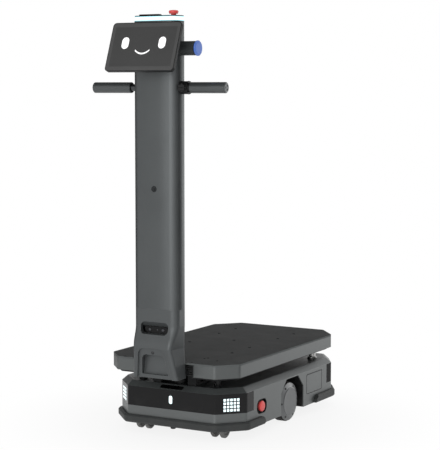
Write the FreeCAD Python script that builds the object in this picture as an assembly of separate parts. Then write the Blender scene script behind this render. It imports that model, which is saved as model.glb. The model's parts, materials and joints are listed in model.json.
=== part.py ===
import FreeCAD, Part
import math
import os
from FreeCAD import Vector, Rotation, Placement

# Delivery robot: a low wheeled chassis with a flat load deck on posts, and a tall mast
# at the front that carries the handlebar, display, light ring and stop button.
# X is the width, the robot drives towards -Y, Z is up and the floor is Z = 0.
# Every piece is drawn with Y = 0 at the drive axle, and moved at the end so that the
# origin is under the middle of the robot's box.

# ---- driving dimensions, mm ----
OVERALL_HEIGHT = 1350.0

CHASSIS_HALF_WIDTH = 235.0
CHASSIS_FRONT = 397.0
CHASSIS_REAR = 380.0
CHASSIS_FRONT_CORNER_X = 73.0
CHASSIS_FRONT_CORNER_Y = 77.0
CHASSIS_REAR_TAPER_X = 49.0
CHASSIS_REAR_TAPER_Y = 80.0
CHASSIS_CORNER_RADIUS = 14.0
GROUND_CLEARANCE = 34.0
CHASSIS_SIDE_TOP = 152.0
CHASSIS_TOP = 168.5
BEVEL_INSET = 18.0
SHELL_WALL = 4.0
TOP_LIP = 6.0
TOP_COVER_THICKNESS = 4.0

BAND_BOTTOM = 89.0
BAND_THICKNESS = 3.0
BAND_SIDE_WRAP = 47.0
LED_SIZE = 7.6
LED_PITCH_ALONG = 11.2
LED_PITCH_UP = 11.0
LED_GRID_SHIFT = 2.4
LED_GRID_DROP = 3.6
LED_COLUMNS = 5
LED_ROWS = 4
LED_DEPTH = 1.0
LED_PROUD = 0.3
STATUS_LIGHT_WIDTH = 12.0
STATUS_LIGHT_HEIGHT = 26.0
STATUS_LIGHT_RADIUS = 5.4
BEVEL_SENSOR_LENGTH = 86.0
BEVEL_SENSOR_HEIGHT = 15.0
BEVEL_SENSOR_RADIUS = 7.4
BEVEL_SENSOR_DEPTH = 2.0
REAR_WINDOW_WIDTH = 38.0
REAR_WINDOW_BOTTOM = 86.0

BUMPER_TOP = 60.0
BUMPER_REACH = 13.0
BUMPER_EDGE = 5.0
FRONT_BUMPER_END = 222.0
REAR_BUMPER_END = 172.0
BUMPER_END_SLOPE = 8.0

ARCH_HALF_WIDTH = 82.0
ARCH_TOP_HALF_WIDTH = 43.0
ARCH_KNEE = 108.0
ARCH_TOP = 149.0
LINER_WALL = 2.5
LINER_INNER_X = 181.0
WHEEL_RADIUS = 66.0
TYRE_WIDTH = 32.0
TYRE_THICKNESS = 10.0
WHEEL_FACE_X = 227.0
HUB_COVER_RADIUS = 63.5
HUB_DISC_RADIUS = 46.0
HUB_COVER_RIM = 2.5
HUB_COVER_DEPTH = 9.0
HUB_DISC_STEP = 2.0
HUB_RIM_WALL = 6.0
HUB_WEB_THICKNESS = 6.0
HUB_BOSS_WALL = 8.0
HUB_BOSS_INSET = 2.0
HUB_SHAFT_RADIUS = 8.0
HUB_SHAFT_DEPTH = 24.0
TYRE_EDGE = 3.0
RUNNING_CLEARANCE = 0.05
SHAFT_HOLE_RADIUS = 14.0
MOTOR_RADIUS = 20.0
MOTOR_INNER_X = 40.0
GEARBOX_RADIUS = 23.0
GEARBOX_LENGTH = 52.0
MOTOR_CLEARANCE = 4.0
MOTOR_FLANGE_RADIUS = 30.0
MOTOR_PLATE_THICKNESS = 8.0
MOTOR_PLATE_TOP = 112.0
MOTOR_FOOT_WIDTH = 16.0
MOTOR_FOOT_THICKNESS = 5.0
MOTOR_BORE_DEPTH = 26.0

BASE_BOTTOM = 76.0
BASE_THICKNESS = 4.0
BASE_RIB_HEIGHT = 10.0
BASE_RELIEF = 4.0
COLUMN_SIZE = 24.0
BAY_HALF_WIDTH = 100.0
BAY_END_GAP = 24.0
BATTERY_LENGTH = 250.0
BATTERY_HANDLE_WIDTH = 80.0
BATTERY_HANDLE_LENGTH = 20.0
BATTERY_HANDLE_DEPTH = 10.0
CONTROL_BOX_LENGTH = 200.0
FIN_COUNT = 9
FIN_HEIGHT = 14.0

CASTER_X = 140.0
CASTER_FRONT_Y = -303.0
CASTER_REAR_Y = 300.0
CASTER_TRAIL = 20.0
CASTER_WHEEL_RADIUS = 27.0
CASTER_WHEEL_WIDTH = 14.0
CASTER_WHEEL_SPACING = 33.0
CASTER_AXLE_RADIUS = 4.0
CASTER_STEM_RADIUS = 5.0
CASTER_WHEEL_EDGE = 3.0
CASTER_HUB_RADIUS = 17.8
CASTER_HUB_DISH = 2.0
CASTER_HUB_WALL = 4.0
CASTER_AXLE_INSET = 2.0
CASTER_STEM_INSET = 0.5
CASTER_CROWN_RADIUS = 21.6
CASTER_CROWN_HEIGHT = 8.0
CASTER_CORE_GAP = 0.6
CASTER_BOSS_RADIUS = 12.0
CASTER_BOSS_FLAT = 4.0
CASTER_HOOD_HEIGHT = 6.0
CASTER_HOOD_FRONT = 16.0
CASTER_HOOD_BACK = 14.0
CASTER_PLATE_SIZE = 54.0
CASTER_PLATE_THICKNESS = 4.0
CASTER_PLATE_RADIUS = 5.0
SWIVEL_GAP = 0.4

DECK_HALF_WIDTH = 236.7
DECK_FRONT = 429.0
DECK_REAR = 376.5
DECK_FRONT_CORNER_X = 57.0
DECK_FRONT_CORNER_Y = 62.0
DECK_REAR_CORNER_X = 70.5
DECK_REAR_CORNER_Y = 81.0
DECK_CORNER_RADIUS = 14.0
DECK_TOP = 252.0
DECK_PLATE_THICKNESS = 6.0
DECK_SKIRT_HEIGHT = 44.0
DECK_SKIRT_WALL = 4.0
DECK_UNDERPLATE_THICKNESS = 7.0
DECK_UNDERPLATE_INSET = 14.0
DECK_HOLE_RADIUS = 2.5
DECK_HOLE_SPACING_X = 232.0
DECK_HOLE_SPACING_Y = 204.0
DECK_HOLE_OUTER_SPACING_Y = 444.0
DECK_HOLE_CENTRE_Y = 20.0
NOTCH_HALF_WIDTH = 104.0
NOTCH_CLEARANCE = 6.0
GRILLE_RIBS = 5
GRILLE_DEPTH = 30.0
GRILLE_MAST_GAP = 2.0
GRILLE_END_WALL = 3.0
POST_RADIUS = 9.0
POST_FLANGE_RADIUS = 14.0
POST_FLANGE_HEIGHT = 4.0
POST_FRONT_X = 140.0
POST_FRONT_Y = -335.0
POST_REAR_X = 178.0
POST_REAR_Y = 263.0

MAST_HALF_WIDTH = 79.5
MAST_FRONT = 492.0
MAST_REAR = 430.0
MAST_CORNER_RADIUS = 24.0
MAST_REAR_CORNER_RADIUS = 14.0
MAST_WALL = 3.0
MAST_SEAM = 424.0
REAR_EDGE_WIDTH = 23.5
SPINE_HALF_WIDTH = 40.0
SPINE_FRONT_GAP = 19.0
SPINE_REAR_GAP = 5.0
SPINE_WALL = 3.0

SHROUD_BOTTOM = 205.0
SHROUD_NOSE_Z = 302.0
SHROUD_BLEND_TOP = 372.0
SHROUD_NOSE_REACH = 20.0
SHROUD_FOOT_REACH = 1.0
SHROUD_FOOT_HALF_WIDTH = 83.0
SHROUD_NOSE_HALF_WIDTH = 68.0
SHROUD_NOSE_RADIUS = 12.0
SHROUD_BLEND_SECTIONS = 6
ARCH_RECESS_DEPTH = 6.0
ARCH_RECESS_TOP = 303.0
ARCH_RECESS_TOP_HALF_WIDTH = 48.0
ARCH_RECESS_FOOT_HALF_WIDTH = 64.0
ARCH_RECESS_RADIUS = 26.0
POCKET_TOP = 281.0
POCKET_SILL = 217.0
POCKET_TOP_HALF_WIDTH = 40.0
POCKET_FOOT_HALF_WIDTH = 48.0
POCKET_DEPTH = 14.0
POCKET_TOP_RADIUS = 16.0
POCKET_SILL_RADIUS = 3.0
SCOOP_HALF_WIDTH = 50.0
SCOOP_TOP = 384.0
SCOOP_BOTTOM = 345.0
SCOOP_DEPTH = 12.0
SCOOP_RADIUS = 15.0
SCOOP_SILL = 2.0
SCOOP_SILL_RAKE = 4.0
EYE_HALF_WIDTH = 43.0
EYE_HEIGHT = 21.0
EYE_RADIUS = 9.4
EYE_MARGIN = 1.0
EYE_PROUD = 1.0
FLOOR_CAMERA_Z = 289.0
FLOOR_CAMERA_RADIUS = 4.0
FLOOR_CAMERA_INSET = 1.0
LOCK_DROP = 517.5
LOCK_RADIUS = 10.0
KEY_SLOT_WIDTH = 2.0
KEY_SLOT_HEIGHT = 10.0
KEY_SLOT_DEPTH = 3.0

BRACKET_LEG_INNER_X = 50.0
BRACKET_LEG_OUTER_X = 80.0
BRACKET_LEG_THICKNESS = 20.0
BRACKET_FLANGE_LENGTH = 72.0
BRACKET_FLANGE_THICKNESS = 8.0
BRACKET_GUSSET = 12.0
BRACKET_CHEEK_WALL = 4.0
BRACKET_ARM_BOTTOM = 212.0
BRACKET_ARM_TOP = 240.0

HANDLE_DROP = 204.5
HANDLE_Y = -459.0
HANDLE_HALF_LENGTH = 239.0
HANDLE_TUBE_RADIUS = 11.0
HANDLE_TUBE_WALL = 2.0
GRIP_RADIUS = 17.0
GRIP_EDGE = 2.0
GRIP_MOUTH_WALL = 2.5
GRIP_INNER_X = 99.0
GRIP_MOUTH_DEPTH = 9.0
GRIP_END_WALL = 4.0
CLAMP_RADIUS = 20.0
CLAMP_LENGTH = 30.0
CLAMP_NECK_RADIUS = 15.0
CLAMP_NECK_LENGTH = 6.0
CLAMP_EAR_REACH = 6.0
CLAMP_EAR_INSET = 4.0
CLAMP_EAR_HALF_HEIGHT = 9.0
CLAMP_SPLIT = 2.0
CLAMP_SCREW_RADIUS = 2.6

CALL_BUTTON_DROP = 84.5
CALL_BUTTON_Y = -455.5
CALL_HOUSING_RADIUS = 22.0
CALL_HOUSING_END_X = 132.0
CALL_LENS_RADIUS = 23.5
CALL_CENTRE_RADIUS = 18.3
CALL_CENTRE_RISE = 1.5
CALL_RIM = 4.0
CALL_EDGE = 1.0
CALL_STEM_LENGTH = 16.0
CALL_TRAVEL = 2.5

RING_HEIGHT = 13.5
RING_WALL = 10.0
CAP_HEIGHT = 3.0
CAP_INSET = 1.5
ANTENNA_X = -32.0
ANTENNA_LENGTH = 73.0
ANTENNA_HEIGHT = 5.0
ANTENNA_DEPTH = 22.0
ANTENNA_RADIUS = 5.0
ANTENNA_EDGE = 1.5

STOP_HEAD_RADIUS = 15.0
STOP_STEM_RADIUS = 8.0
STOP_HEAD_HEIGHT = 11.0
STOP_TRAVEL = 4.0
STOP_GAP = 1.0
STOP_BLOCK_WALL = 4.0
STOP_BLOCK_FLOOR = 1.0
STOP_BLOCK_LENGTH = 26.0
STOP_STEM_EXTRA = 8.0
TOP_STOP_X = 52.5
TOP_STOP_Y = -458.0
SIDE_STOP_Y = -218.0
SIDE_STOP_Z = 92.0
SIDE_STOP_HEAD_RADIUS = 17.0
SIDE_STOP_RECESS_WIDTH = 62.0
SIDE_STOP_RECESS_HEIGHT = 43.0
SIDE_STOP_RECESS_RADIUS = 18.0
SIDE_STOP_RECESS_DEPTH = 11.0
SIDE_STOP_CUP_WALL = 2.5

FLAP_CENTRE_Y = 165.0
FLAP_CENTRE_Z = 106.0
FLAP_LENGTH = 118.0
FLAP_HEIGHT = 68.0
FLAP_RADIUS = 8.0
FLAP_HINGE_CORNER = 3.0
FLAP_GAP = 0.6
FLAP_THICKNESS = 4.0
FLAP_PIN_RADIUS = 1.0
FLAP_PIN_SEAT = 4.0
FLAP_NOTCH_RADIUS = 4.0
PORT_DEPTH = 34.0
PORT_WALL = 2.5
SOCKET_RADIUS = 19.0
SOCKET_WALL = 3.0
SOCKET_LENGTH = 10.0
SOCKET_FLOOR = 1.0
SOCKET_PIN_RADIUS = 2.5
SOCKET_PIN_SPACING = 12.0

DISPLAY_WIDTH = 246.0
DISPLAY_HEIGHT = 159.0
DISPLAY_CENTRE_Y = -552.0
DISPLAY_DROP = 80.0
DISPLAY_TILT = 20.9
DISPLAY_THICKNESS = 11.0
DISPLAY_CORNER_RADIUS = 12.0
DISPLAY_RIM = 2.0
DISPLAY_GLASS_THICKNESS = 2.0
DISPLAY_BACK_WIDTH = 150.0
DISPLAY_BACK_HEIGHT = 96.0
DISPLAY_BACK_DEPTH = 9.0
DISPLAY_BACK_FLARE = 10.0
DISPLAY_BACK_RADIUS = 10.0
DISPLAY_ARM_HALF_WIDTH = 30.0
DISPLAY_ARM_HALF_HEIGHT = 38.4

LIDAR_RADIUS = 34.0
LIDAR_Y = -325.0
LIDAR_HEADROOM = 2.0
LIDAR_BASE_HEIGHT = 10.4
LIDAR_LID_HEIGHT = 4.0
LIDAR_WINDOW_INSET = 3.0

# ---- heights that follow from the dimensions above ----
STOP_LIFT = STOP_TRAVEL + STOP_GAP
CAP_TOP = OVERALL_HEIGHT - STOP_HEAD_HEIGHT - STOP_LIFT
MAST_TOP = CAP_TOP - CAP_HEIGHT - RING_HEIGHT
LOCK_Z = MAST_TOP - LOCK_DROP
HANDLE_Z = MAST_TOP - HANDLE_DROP
CALL_BUTTON_Z = MAST_TOP - CALL_BUTTON_DROP
DISPLAY_CENTRE_Z = MAST_TOP - DISPLAY_DROP


# ---- geometry helpers ----
def box(x0, x1, y0, y1, z0, z1):
    return Part.makeBox(x1 - x0, y1 - y0, z1 - z0, Vector(x0, y0, z0))


def cylinder(radius, start, axis, length):
    return Part.makeCylinder(radius, length, start, axis)


def revolved(profile, origin, axis):
    """Solid of revolution. profile is a closed list of (radius, distance along the axis)."""
    points = [Vector(radius, 0, along) for radius, along in profile]
    face = Part.Face(Part.makePolygon(points + points[:1]))
    solid = face.revolve(Vector(0, 0, 0), Vector(0, 0, 1), 360)
    solid.Placement = Placement(origin, Rotation(Vector(0, 0, 1), axis))
    return solid


def rounded_wire(corners, radius):
    """Closed wire through 3-D corners, each rounded by one radius or by its own."""
    count = len(corners)
    radii = radius if isinstance(radius, list) else [radius] * count
    starts = []
    ends = []
    middles = []
    for i, corner in enumerate(corners):
        to_previous = (corners[i - 1] - corner).normalize()
        to_next = (corners[(i + 1) % count] - corner).normalize()
        half_angle = to_previous.getAngle(to_next) / 2
        reach = radii[i] / math.tan(half_angle)
        bisector = (to_previous + to_next).normalize()
        centre = corner + bisector * (radii[i] / math.sin(half_angle))
        starts.append(corner + to_previous * reach)
        ends.append(corner + to_next * reach)
        middles.append(centre - bisector * radii[i])
    edges = []
    for i in range(count):
        if radii[i] > 0:
            edges.append(Part.Arc(starts[i], middles[i], ends[i]).toShape())
        edges.append(Part.makeLine(ends[i], starts[(i + 1) % count]))
    return Part.Wire(edges)


def plan(points, z):
    return [Vector(x, y, z) for x, y in points]


def prism(wire, direction):
    return Part.Face(wire).extrude(direction)


def plan_prism(points, z0, z1, radius=0.0):
    return prism(rounded_wire(plan(points, z0), radius), Vector(0, 0, z1 - z0))


def side_prism(points, x0, x1, radius=0.0):
    """Prism along X from a (y, z) outline."""
    corners = [Vector(x0, y, z) for y, z in points]
    return prism(rounded_wire(corners, radius), Vector(x1 - x0, 0, 0))


def front_prism(points, y0, y1, radius=0.0):
    """Prism along Y from an (x, z) outline."""
    corners = [Vector(x, y0, z) for x, z in points]
    return prism(rounded_wire(corners, radius), Vector(0, y1 - y0, 0))


def rectangle(centre_a, centre_b, size_a, size_b):
    a0 = centre_a - size_a / 2
    a1 = centre_a + size_a / 2
    b0 = centre_b - size_b / 2
    b1 = centre_b + size_b / 2
    return [(a0, b0), (a1, b0), (a1, b1), (a0, b1)]


def mirrored(shape):
    """The same piece on the other side of the robot."""
    return shape.mirror(Vector(0, 0, 0), Vector(1, 0, 0))


def both_sides(shape):
    return Part.makeCompound([shape, mirrored(shape)])


def inset_polygon(points, inset):
    """Corners of a convex outline moved in by the same distance from every side."""
    count = len(points)
    area = sum(points[i - 1][0] * points[i][1] - points[i][0] * points[i - 1][1] for i in range(count))
    turn = 1 if area > 0 else -1
    lines = []
    for i in range(count):
        x0, y0 = points[i]
        x1, y1 = points[(i + 1) % count]
        length = math.hypot(x1 - x0, y1 - y0)
        nx = -(y1 - y0) / length * turn
        ny = (x1 - x0) / length * turn
        lines.append((nx, ny, nx * x0 + ny * y0 + inset))
    moved = []
    for i in range(count):
        a0, b0, c0 = lines[i - 1]
        a1, b1, c1 = lines[i]
        det = a0 * b1 - a1 * b0
        moved.append(((c0 * b1 - c1 * b0) / det, (a0 * c1 - a1 * c0) / det))
    return moved


def corner_outline(half_width, front, rear, front_corner, rear_corner, inset=0.0):
    """Plan of a slab whose front and rear corners are cut off."""
    fx, fy = front_corner
    rx, ry = rear_corner
    right = [(half_width - fx, -front), (half_width, fy - front),
             (half_width, rear - ry), (half_width - rx, rear)]
    left = [(-x, y) for x, y in reversed(right)]
    return inset_polygon(right + left, inset)


def ruled(wires):
    return Part.makeLoft(wires, True, True)


# ---- chassis ----
def chassis_outline(inset=0.0):
    front_corner = (CHASSIS_FRONT_CORNER_X, CHASSIS_FRONT_CORNER_Y)
    rear_corner = (CHASSIS_REAR_TAPER_X, CHASSIS_REAR_TAPER_Y)
    return corner_outline(CHASSIS_HALF_WIDTH, CHASSIS_FRONT, CHASSIS_REAR, front_corner, rear_corner, inset)


def chassis_wire(inset, z):
    return rounded_wire(plan(chassis_outline(inset), z), CHASSIS_CORNER_RADIUS - min(inset, 0.0))


def chassis_prism(inset, z0, z1):
    return prism(chassis_wire(inset, z0), Vector(0, 0, z1 - z0))


def chassis_bevel(inset):
    """The sloping shoulder between the upright sides and the top."""
    foot = chassis_wire(inset, CHASSIS_SIDE_TOP)
    head = chassis_wire(inset + BEVEL_INSET, CHASSIS_TOP)
    return ruled([foot, head])


def arch_outline(grow=0.0):
    """Wheel arch in the side wall as (y, z), open at the bottom edge of the shell."""
    low = GROUND_CLEARANCE - grow
    wide = ARCH_HALF_WIDTH + grow
    narrow = ARCH_TOP_HALF_WIDTH + grow / 2
    top = ARCH_TOP + grow
    return [(-wide, low), (-wide, ARCH_KNEE), (-narrow, top), (narrow, top), (wide, ARCH_KNEE), (wide, low)]


def flap_opening(gap):
    return rectangle(FLAP_CENTRE_Y, FLAP_CENTRE_Z, FLAP_LENGTH + 2 * gap, FLAP_HEIGHT + 2 * gap)


def flap_hole(x0, x1):
    """Hole for the flap; its upper corners are sharper, so that the opening flap clears them."""
    radii = [FLAP_RADIUS, FLAP_RADIUS, FLAP_HINGE_CORNER, FLAP_HINGE_CORNER]
    return side_prism(flap_opening(FLAP_GAP), x0, x1, radii)


def stop_recess(grow):
    return rectangle(SIDE_STOP_Y, SIDE_STOP_Z, SIDE_STOP_RECESS_WIDTH + 2 * grow,
                     SIDE_STOP_RECESS_HEIGHT + 2 * grow)


def band_region():
    """What the gloss front band covers: front, cut corners and a short run of each side."""
    end_y = CHASSIS_FRONT_CORNER_Y + BAND_SIDE_WRAP - CHASSIS_FRONT
    reach = CHASSIS_HALF_WIDTH + BUMPER_REACH
    return box(-reach, reach, -CHASSIS_FRONT - BUMPER_REACH, end_y, BAND_BOTTOM, CHASSIS_SIDE_TOP)


def bevel_region():
    """Front part of the shoulder, up to the mitres between the cut corners and the sides."""
    outer = chassis_outline(0.0)[1]
    inner = chassis_outline(BEVEL_INSET)[1]
    slope = (inner[1] - outer[1]) / (outer[0] - inner[0])
    reach = CHASSIS_HALF_WIDTH + BUMPER_REACH
    side_y = outer[1] - slope * BUMPER_REACH
    middle_y = outer[1] + slope * outer[0]
    front_y = -CHASSIS_FRONT - BUMPER_REACH
    corners = [(-reach, front_y), (reach, front_y), (reach, side_y), (0.0, middle_y), (-reach, side_y)]
    return plan_prism(corners, CHASSIS_SIDE_TOP, CHASSIS_TOP)


def rear_window_box():
    """Upright strip at the end of the side wall, up to the tapered rear corner."""
    start_y = CHASSIS_REAR - CHASSIS_REAR_TAPER_Y - REAR_WINDOW_WIDTH
    reach = CHASSIS_HALF_WIDTH + BUMPER_REACH
    end_y = start_y + REAR_WINDOW_WIDTH
    return box(CHASSIS_HALF_WIDTH / 2, reach, start_y, end_y, REAR_WINDOW_BOTTOM, CHASSIS_SIDE_TOP)


def outer_skin(thickness, z0, z1):
    return chassis_prism(0.0, z0, z1).cut(chassis_prism(thickness, z0, z1))


def front_light_cover():
    band = outer_skin(BAND_THICKNESS, BAND_BOTTOM, CHASSIS_SIDE_TOP).common(band_region())
    return band.cut(front_leds())


def led_block():
    """Grid of square lamps on the cut corner, on the +X side."""
    front_end = Vector(CHASSIS_HALF_WIDTH - CHASSIS_FRONT_CORNER_X, -CHASSIS_FRONT, 0)
    side_end = Vector(CHASSIS_HALF_WIDTH, CHASSIS_FRONT_CORNER_Y - CHASSIS_FRONT, 0)
    along = (side_end - front_end).normalize()
    outward = along.cross(Vector(0, 0, 1))
    middle_z = (BAND_BOTTOM + CHASSIS_SIDE_TOP) / 2 - LED_GRID_DROP
    middle = (front_end + side_end) / 2 + along * LED_GRID_SHIFT + Vector(0, 0, middle_z)
    turn = Rotation(along, outward * -1, Vector(0, 0, 1), "XYZ")
    lamps = []
    for column in range(LED_COLUMNS):
        for row in range(LED_ROWS):
            a = (column - (LED_COLUMNS - 1) / 2) * LED_PITCH_ALONG - LED_SIZE / 2
            z = (row - (LED_ROWS - 1) / 2) * LED_PITCH_UP - LED_SIZE / 2
            lamp = Part.makeBox(LED_SIZE, LED_DEPTH + LED_PROUD, LED_SIZE, Vector(a, -LED_PROUD, z))
            lamp.Placement = Placement(middle, turn)
            lamps.append(lamp)
    return lamps


def front_leds():
    lamps = led_block()
    middle_z = (BAND_BOTTOM + CHASSIS_SIDE_TOP) / 2
    outline = rectangle(0.0, middle_z, STATUS_LIGHT_WIDTH, STATUS_LIGHT_HEIGHT)
    front = -CHASSIS_FRONT
    status = front_prism(outline, front - LED_PROUD, front + LED_DEPTH, STATUS_LIGHT_RADIUS)
    return Part.makeCompound(lamps + [mirrored(lamp) for lamp in lamps] + [status])


def bevel_frame():
    """Centre and rotation of the front shoulder: X along it, Y into it, Z up its slope."""
    rise = CHASSIS_TOP - CHASSIS_SIDE_TOP
    up_slope = Vector(0, BEVEL_INSET, rise).normalize()
    inward = Vector(1, 0, 0).cross(up_slope) * -1
    middle = Vector(0, BEVEL_INSET / 2 - CHASSIS_FRONT, (CHASSIS_SIDE_TOP + CHASSIS_TOP) / 2)
    return Placement(middle, Rotation(Vector(1, 0, 0), inward, up_slope, "XYZ"))


def bevel_slot(near, far):
    outline = rectangle(0.0, 0.0, BEVEL_SENSOR_LENGTH, BEVEL_SENSOR_HEIGHT)
    slot = front_prism(outline, near, far, BEVEL_SENSOR_RADIUS)
    slot.Placement = bevel_frame()
    return slot


def bevel_shell():
    return chassis_bevel(0.0).cut(chassis_bevel(BAND_THICKNESS)).common(bevel_region())


def front_bevel_cover():
    return bevel_shell().cut(bevel_slot(-BAND_THICKNESS, 3 * BAND_THICKNESS))


def front_sensor_window():
    window = bevel_slot(BAND_THICKNESS - BEVEL_SENSOR_DEPTH, BAND_THICKNESS + BEVEL_SENSOR_DEPTH)
    return window.common(chassis_bevel(0.0))


def rear_window():
    return outer_skin(BAND_THICKNESS, REAR_WINDOW_BOTTOM, CHASSIS_SIDE_TOP).common(rear_window_box())


def sensor_windows():
    """Black windows of the front shoulder and of both rear corners."""
    return Part.makeCompound([front_sensor_window(), both_sides(rear_window())])


def chassis_shell():
    """Grey side casing: upright walls, shoulder and a lip round the top cover."""
    outer = chassis_prism(0.0, GROUND_CLEARANCE, CHASSIS_SIDE_TOP).fuse(chassis_bevel(0.0))
    inner = chassis_prism(SHELL_WALL, GROUND_CLEARANCE, CHASSIS_SIDE_TOP).fuse(chassis_bevel(SHELL_WALL + 1))
    top_opening = chassis_prism(BEVEL_INSET + TOP_LIP, CHASSIS_SIDE_TOP, CHASSIS_TOP)
    shell = outer.cut(inner).cut(top_opening)
    # the shoulder's inner face stops short of the top, which leaves the lip
    lip = chassis_prism(BEVEL_INSET, CHASSIS_TOP - TOP_COVER_THICKNESS, CHASSIS_TOP).cut(top_opening)
    shell = shell.fuse(lip).removeSplitter()
    reach = CHASSIS_HALF_WIDTH
    arches = side_prism(arch_outline(), -reach, reach)
    shell = shell.cut(arches)
    shell = shell.cut(outer_skin(BAND_THICKNESS, BAND_BOTTOM, CHASSIS_SIDE_TOP).common(band_region()))
    shell = shell.cut(bevel_shell()).cut(bevel_slot(-BAND_THICKNESS, 3 * BAND_THICKNESS))
    shell = shell.cut(both_sides(rear_window()))
    shell = shell.cut(both_sides(stop_cup_outer()))
    return shell.cut(flap_hole(reach - SHELL_WALL, reach)).cut(flap_pin())


def top_cover():
    inset = BEVEL_INSET + TOP_LIP
    return chassis_prism(inset, CHASSIS_TOP - TOP_COVER_THICKNESS, CHASSIS_TOP)


def bumper_ring():
    """Rubber edge round the chassis, with its outer edges broken."""
    low = GROUND_CLEARANCE
    levels = [(low, BUMPER_EDGE - BUMPER_REACH), (low + BUMPER_EDGE, -BUMPER_REACH),
              (BUMPER_TOP - BUMPER_EDGE, -BUMPER_REACH), (BUMPER_TOP, BUMPER_EDGE - BUMPER_REACH)]
    outer = ruled([chassis_wire(inset, z) for z, inset in levels])
    return outer.cut(chassis_prism(0.0, low, BUMPER_TOP))


def bumper_end_profile(end_y, toward):
    """Sloped end of a bumper as (y, z), from bottom to top; toward is the bumper's side in Y."""
    low_end = end_y - toward * BUMPER_END_SLOPE
    high_end = end_y if toward < 0 else end_y + BUMPER_END_SLOPE
    middle = (GROUND_CLEARANCE + BUMPER_TOP) / 2
    return [(low_end, GROUND_CLEARANCE), (low_end, middle), (high_end, BUMPER_TOP)]


def bumper(end_y, toward):
    reach = CHASSIS_HALF_WIDTH + BUMPER_REACH
    far = -CHASSIS_FRONT - BUMPER_REACH if toward < 0 else CHASSIS_REAR + BUMPER_REACH
    side = [(far, GROUND_CLEARANCE)] + bumper_end_profile(end_y, toward) + [(far, BUMPER_TOP)]
    return bumper_ring().common(side_prism(side, -reach, reach))


def front_bumper():
    return bumper(-FRONT_BUMPER_END, -1)


def rear_bumper():
    return bumper(REAR_BUMPER_END, 1)


def wheel_liner():
    """Wheelhouse behind the arch, with a hole for the wheel's shaft."""
    inner_face = CHASSIS_HALF_WIDTH - SHELL_WALL
    outer = side_prism(arch_outline(LINER_WALL), LINER_INNER_X, inner_face)
    hollow = side_prism(arch_outline(), LINER_INNER_X + LINER_WALL, inner_face)
    below = box(0, CHASSIS_HALF_WIDTH, -CHASSIS_FRONT, CHASSIS_REAR, 0, GROUND_CLEARANCE)
    axle = Vector(0, 0, WHEEL_RADIUS)
    shaft_hole = cylinder(SHAFT_HOLE_RADIUS, axle, Vector(1, 0, 0), CHASSIS_HALF_WIDTH)
    return outer.cut(hollow).cut(below).cut(shaft_hole)


def caster_places():
    for name, y in (("front", CASTER_FRONT_Y), ("rear", CASTER_REAR_Y)):
        for side, x in (("left", CASTER_X), ("right", -CASTER_X)):
            yield name + "_" + side, x, y


def well_half_length():
    """Half the length of the opening in the base plate for a wheel and its motor."""
    return ARCH_HALF_WIDTH + LINER_WALL


def base_opening(inner_x, y0, y1):
    """Cut in the base plate from inner_x out through the +X edge."""
    return box(inner_x, CHASSIS_HALF_WIDTH, y0, y1, BASE_BOTTOM, BASE_BOTTOM + BASE_THICKNESS)


def base_frame():
    """Steel plate above the casters, open round the motors and the pieces in the side walls,
    with two stiffening ribs and four columns on it."""
    top = BASE_BOTTOM + BASE_THICKNESS
    well_y = well_half_length()
    well = base_opening(MOTOR_INNER_X - MOTOR_CLEARANCE, -well_y, well_y)
    stop_x = CHASSIS_HALF_WIDTH - SIDE_STOP_RECESS_DEPTH - STOP_BLOCK_LENGTH - BASE_RELIEF
    stop_half = SIDE_STOP_RECESS_WIDTH / 2 + SIDE_STOP_CUP_WALL + BASE_RELIEF
    stop_relief = base_opening(stop_x, SIDE_STOP_Y - stop_half, SIDE_STOP_Y + stop_half)
    port_x = CHASSIS_HALF_WIDTH - SHELL_WALL - PORT_DEPTH - BASE_RELIEF
    port_half = FLAP_LENGTH / 2 + FLAP_GAP + PORT_WALL + BASE_RELIEF
    port_relief = base_opening(port_x, FLAP_CENTRE_Y - port_half, FLAP_CENTRE_Y + port_half)
    plate = chassis_prism(SHELL_WALL, BASE_BOTTOM, top)
    frame = plate.cut([both_sides(well), both_sides(stop_relief), port_relief])
    for rib_y in (-well_y - BASE_THICKNESS, well_y):
        frame = frame.fuse(box(-BAY_HALF_WIDTH, BAY_HALF_WIDTH, rib_y, rib_y + BASE_THICKNESS,
                               top, top + BASE_RIB_HEIGHT))
    half = COLUMN_SIZE / 2
    for _, x, y in post_places():
        column = box(x - half, x + half, y - half, y + half, top, CHASSIS_TOP - TOP_COVER_THICKNESS)
        frame = frame.fuse(column)
    return frame.removeSplitter()


def battery_pack():
    """Battery case behind the wheels, with a hand slot in its front edge."""
    half = BAY_HALF_WIDTH
    y0 = ARCH_HALF_WIDTH + BAY_END_GAP
    case = box(-half, half, y0, y0 + BATTERY_LENGTH, BASE_BOTTOM + BASE_THICKNESS, CHASSIS_SIDE_TOP)
    hand = BATTERY_HANDLE_WIDTH / 2
    slot_bottom = CHASSIS_SIDE_TOP - BATTERY_HANDLE_DEPTH
    return case.cut(box(-hand, hand, y0, y0 + BATTERY_HANDLE_LENGTH, slot_bottom, CHASSIS_SIDE_TOP))


def control_box():
    """Controller case in front of the wheels, with cooling fins on top."""
    half = BAY_HALF_WIDTH
    y1 = -ARCH_HALF_WIDTH - BAY_END_GAP
    y0 = y1 - CONTROL_BOX_LENGTH
    case_top = CHASSIS_SIDE_TOP - FIN_HEIGHT
    case = box(-half, half, y0, y1, BASE_BOTTOM + BASE_THICKNESS, case_top)
    fin_width = 2 * half / (2 * FIN_COUNT - 1)
    for fin in range(FIN_COUNT):
        x0 = 2 * fin * fin_width - half
        case = case.fuse(box(x0, x0 + fin_width, y0, y1, case_top, CHASSIS_SIDE_TOP))
    return case


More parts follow.
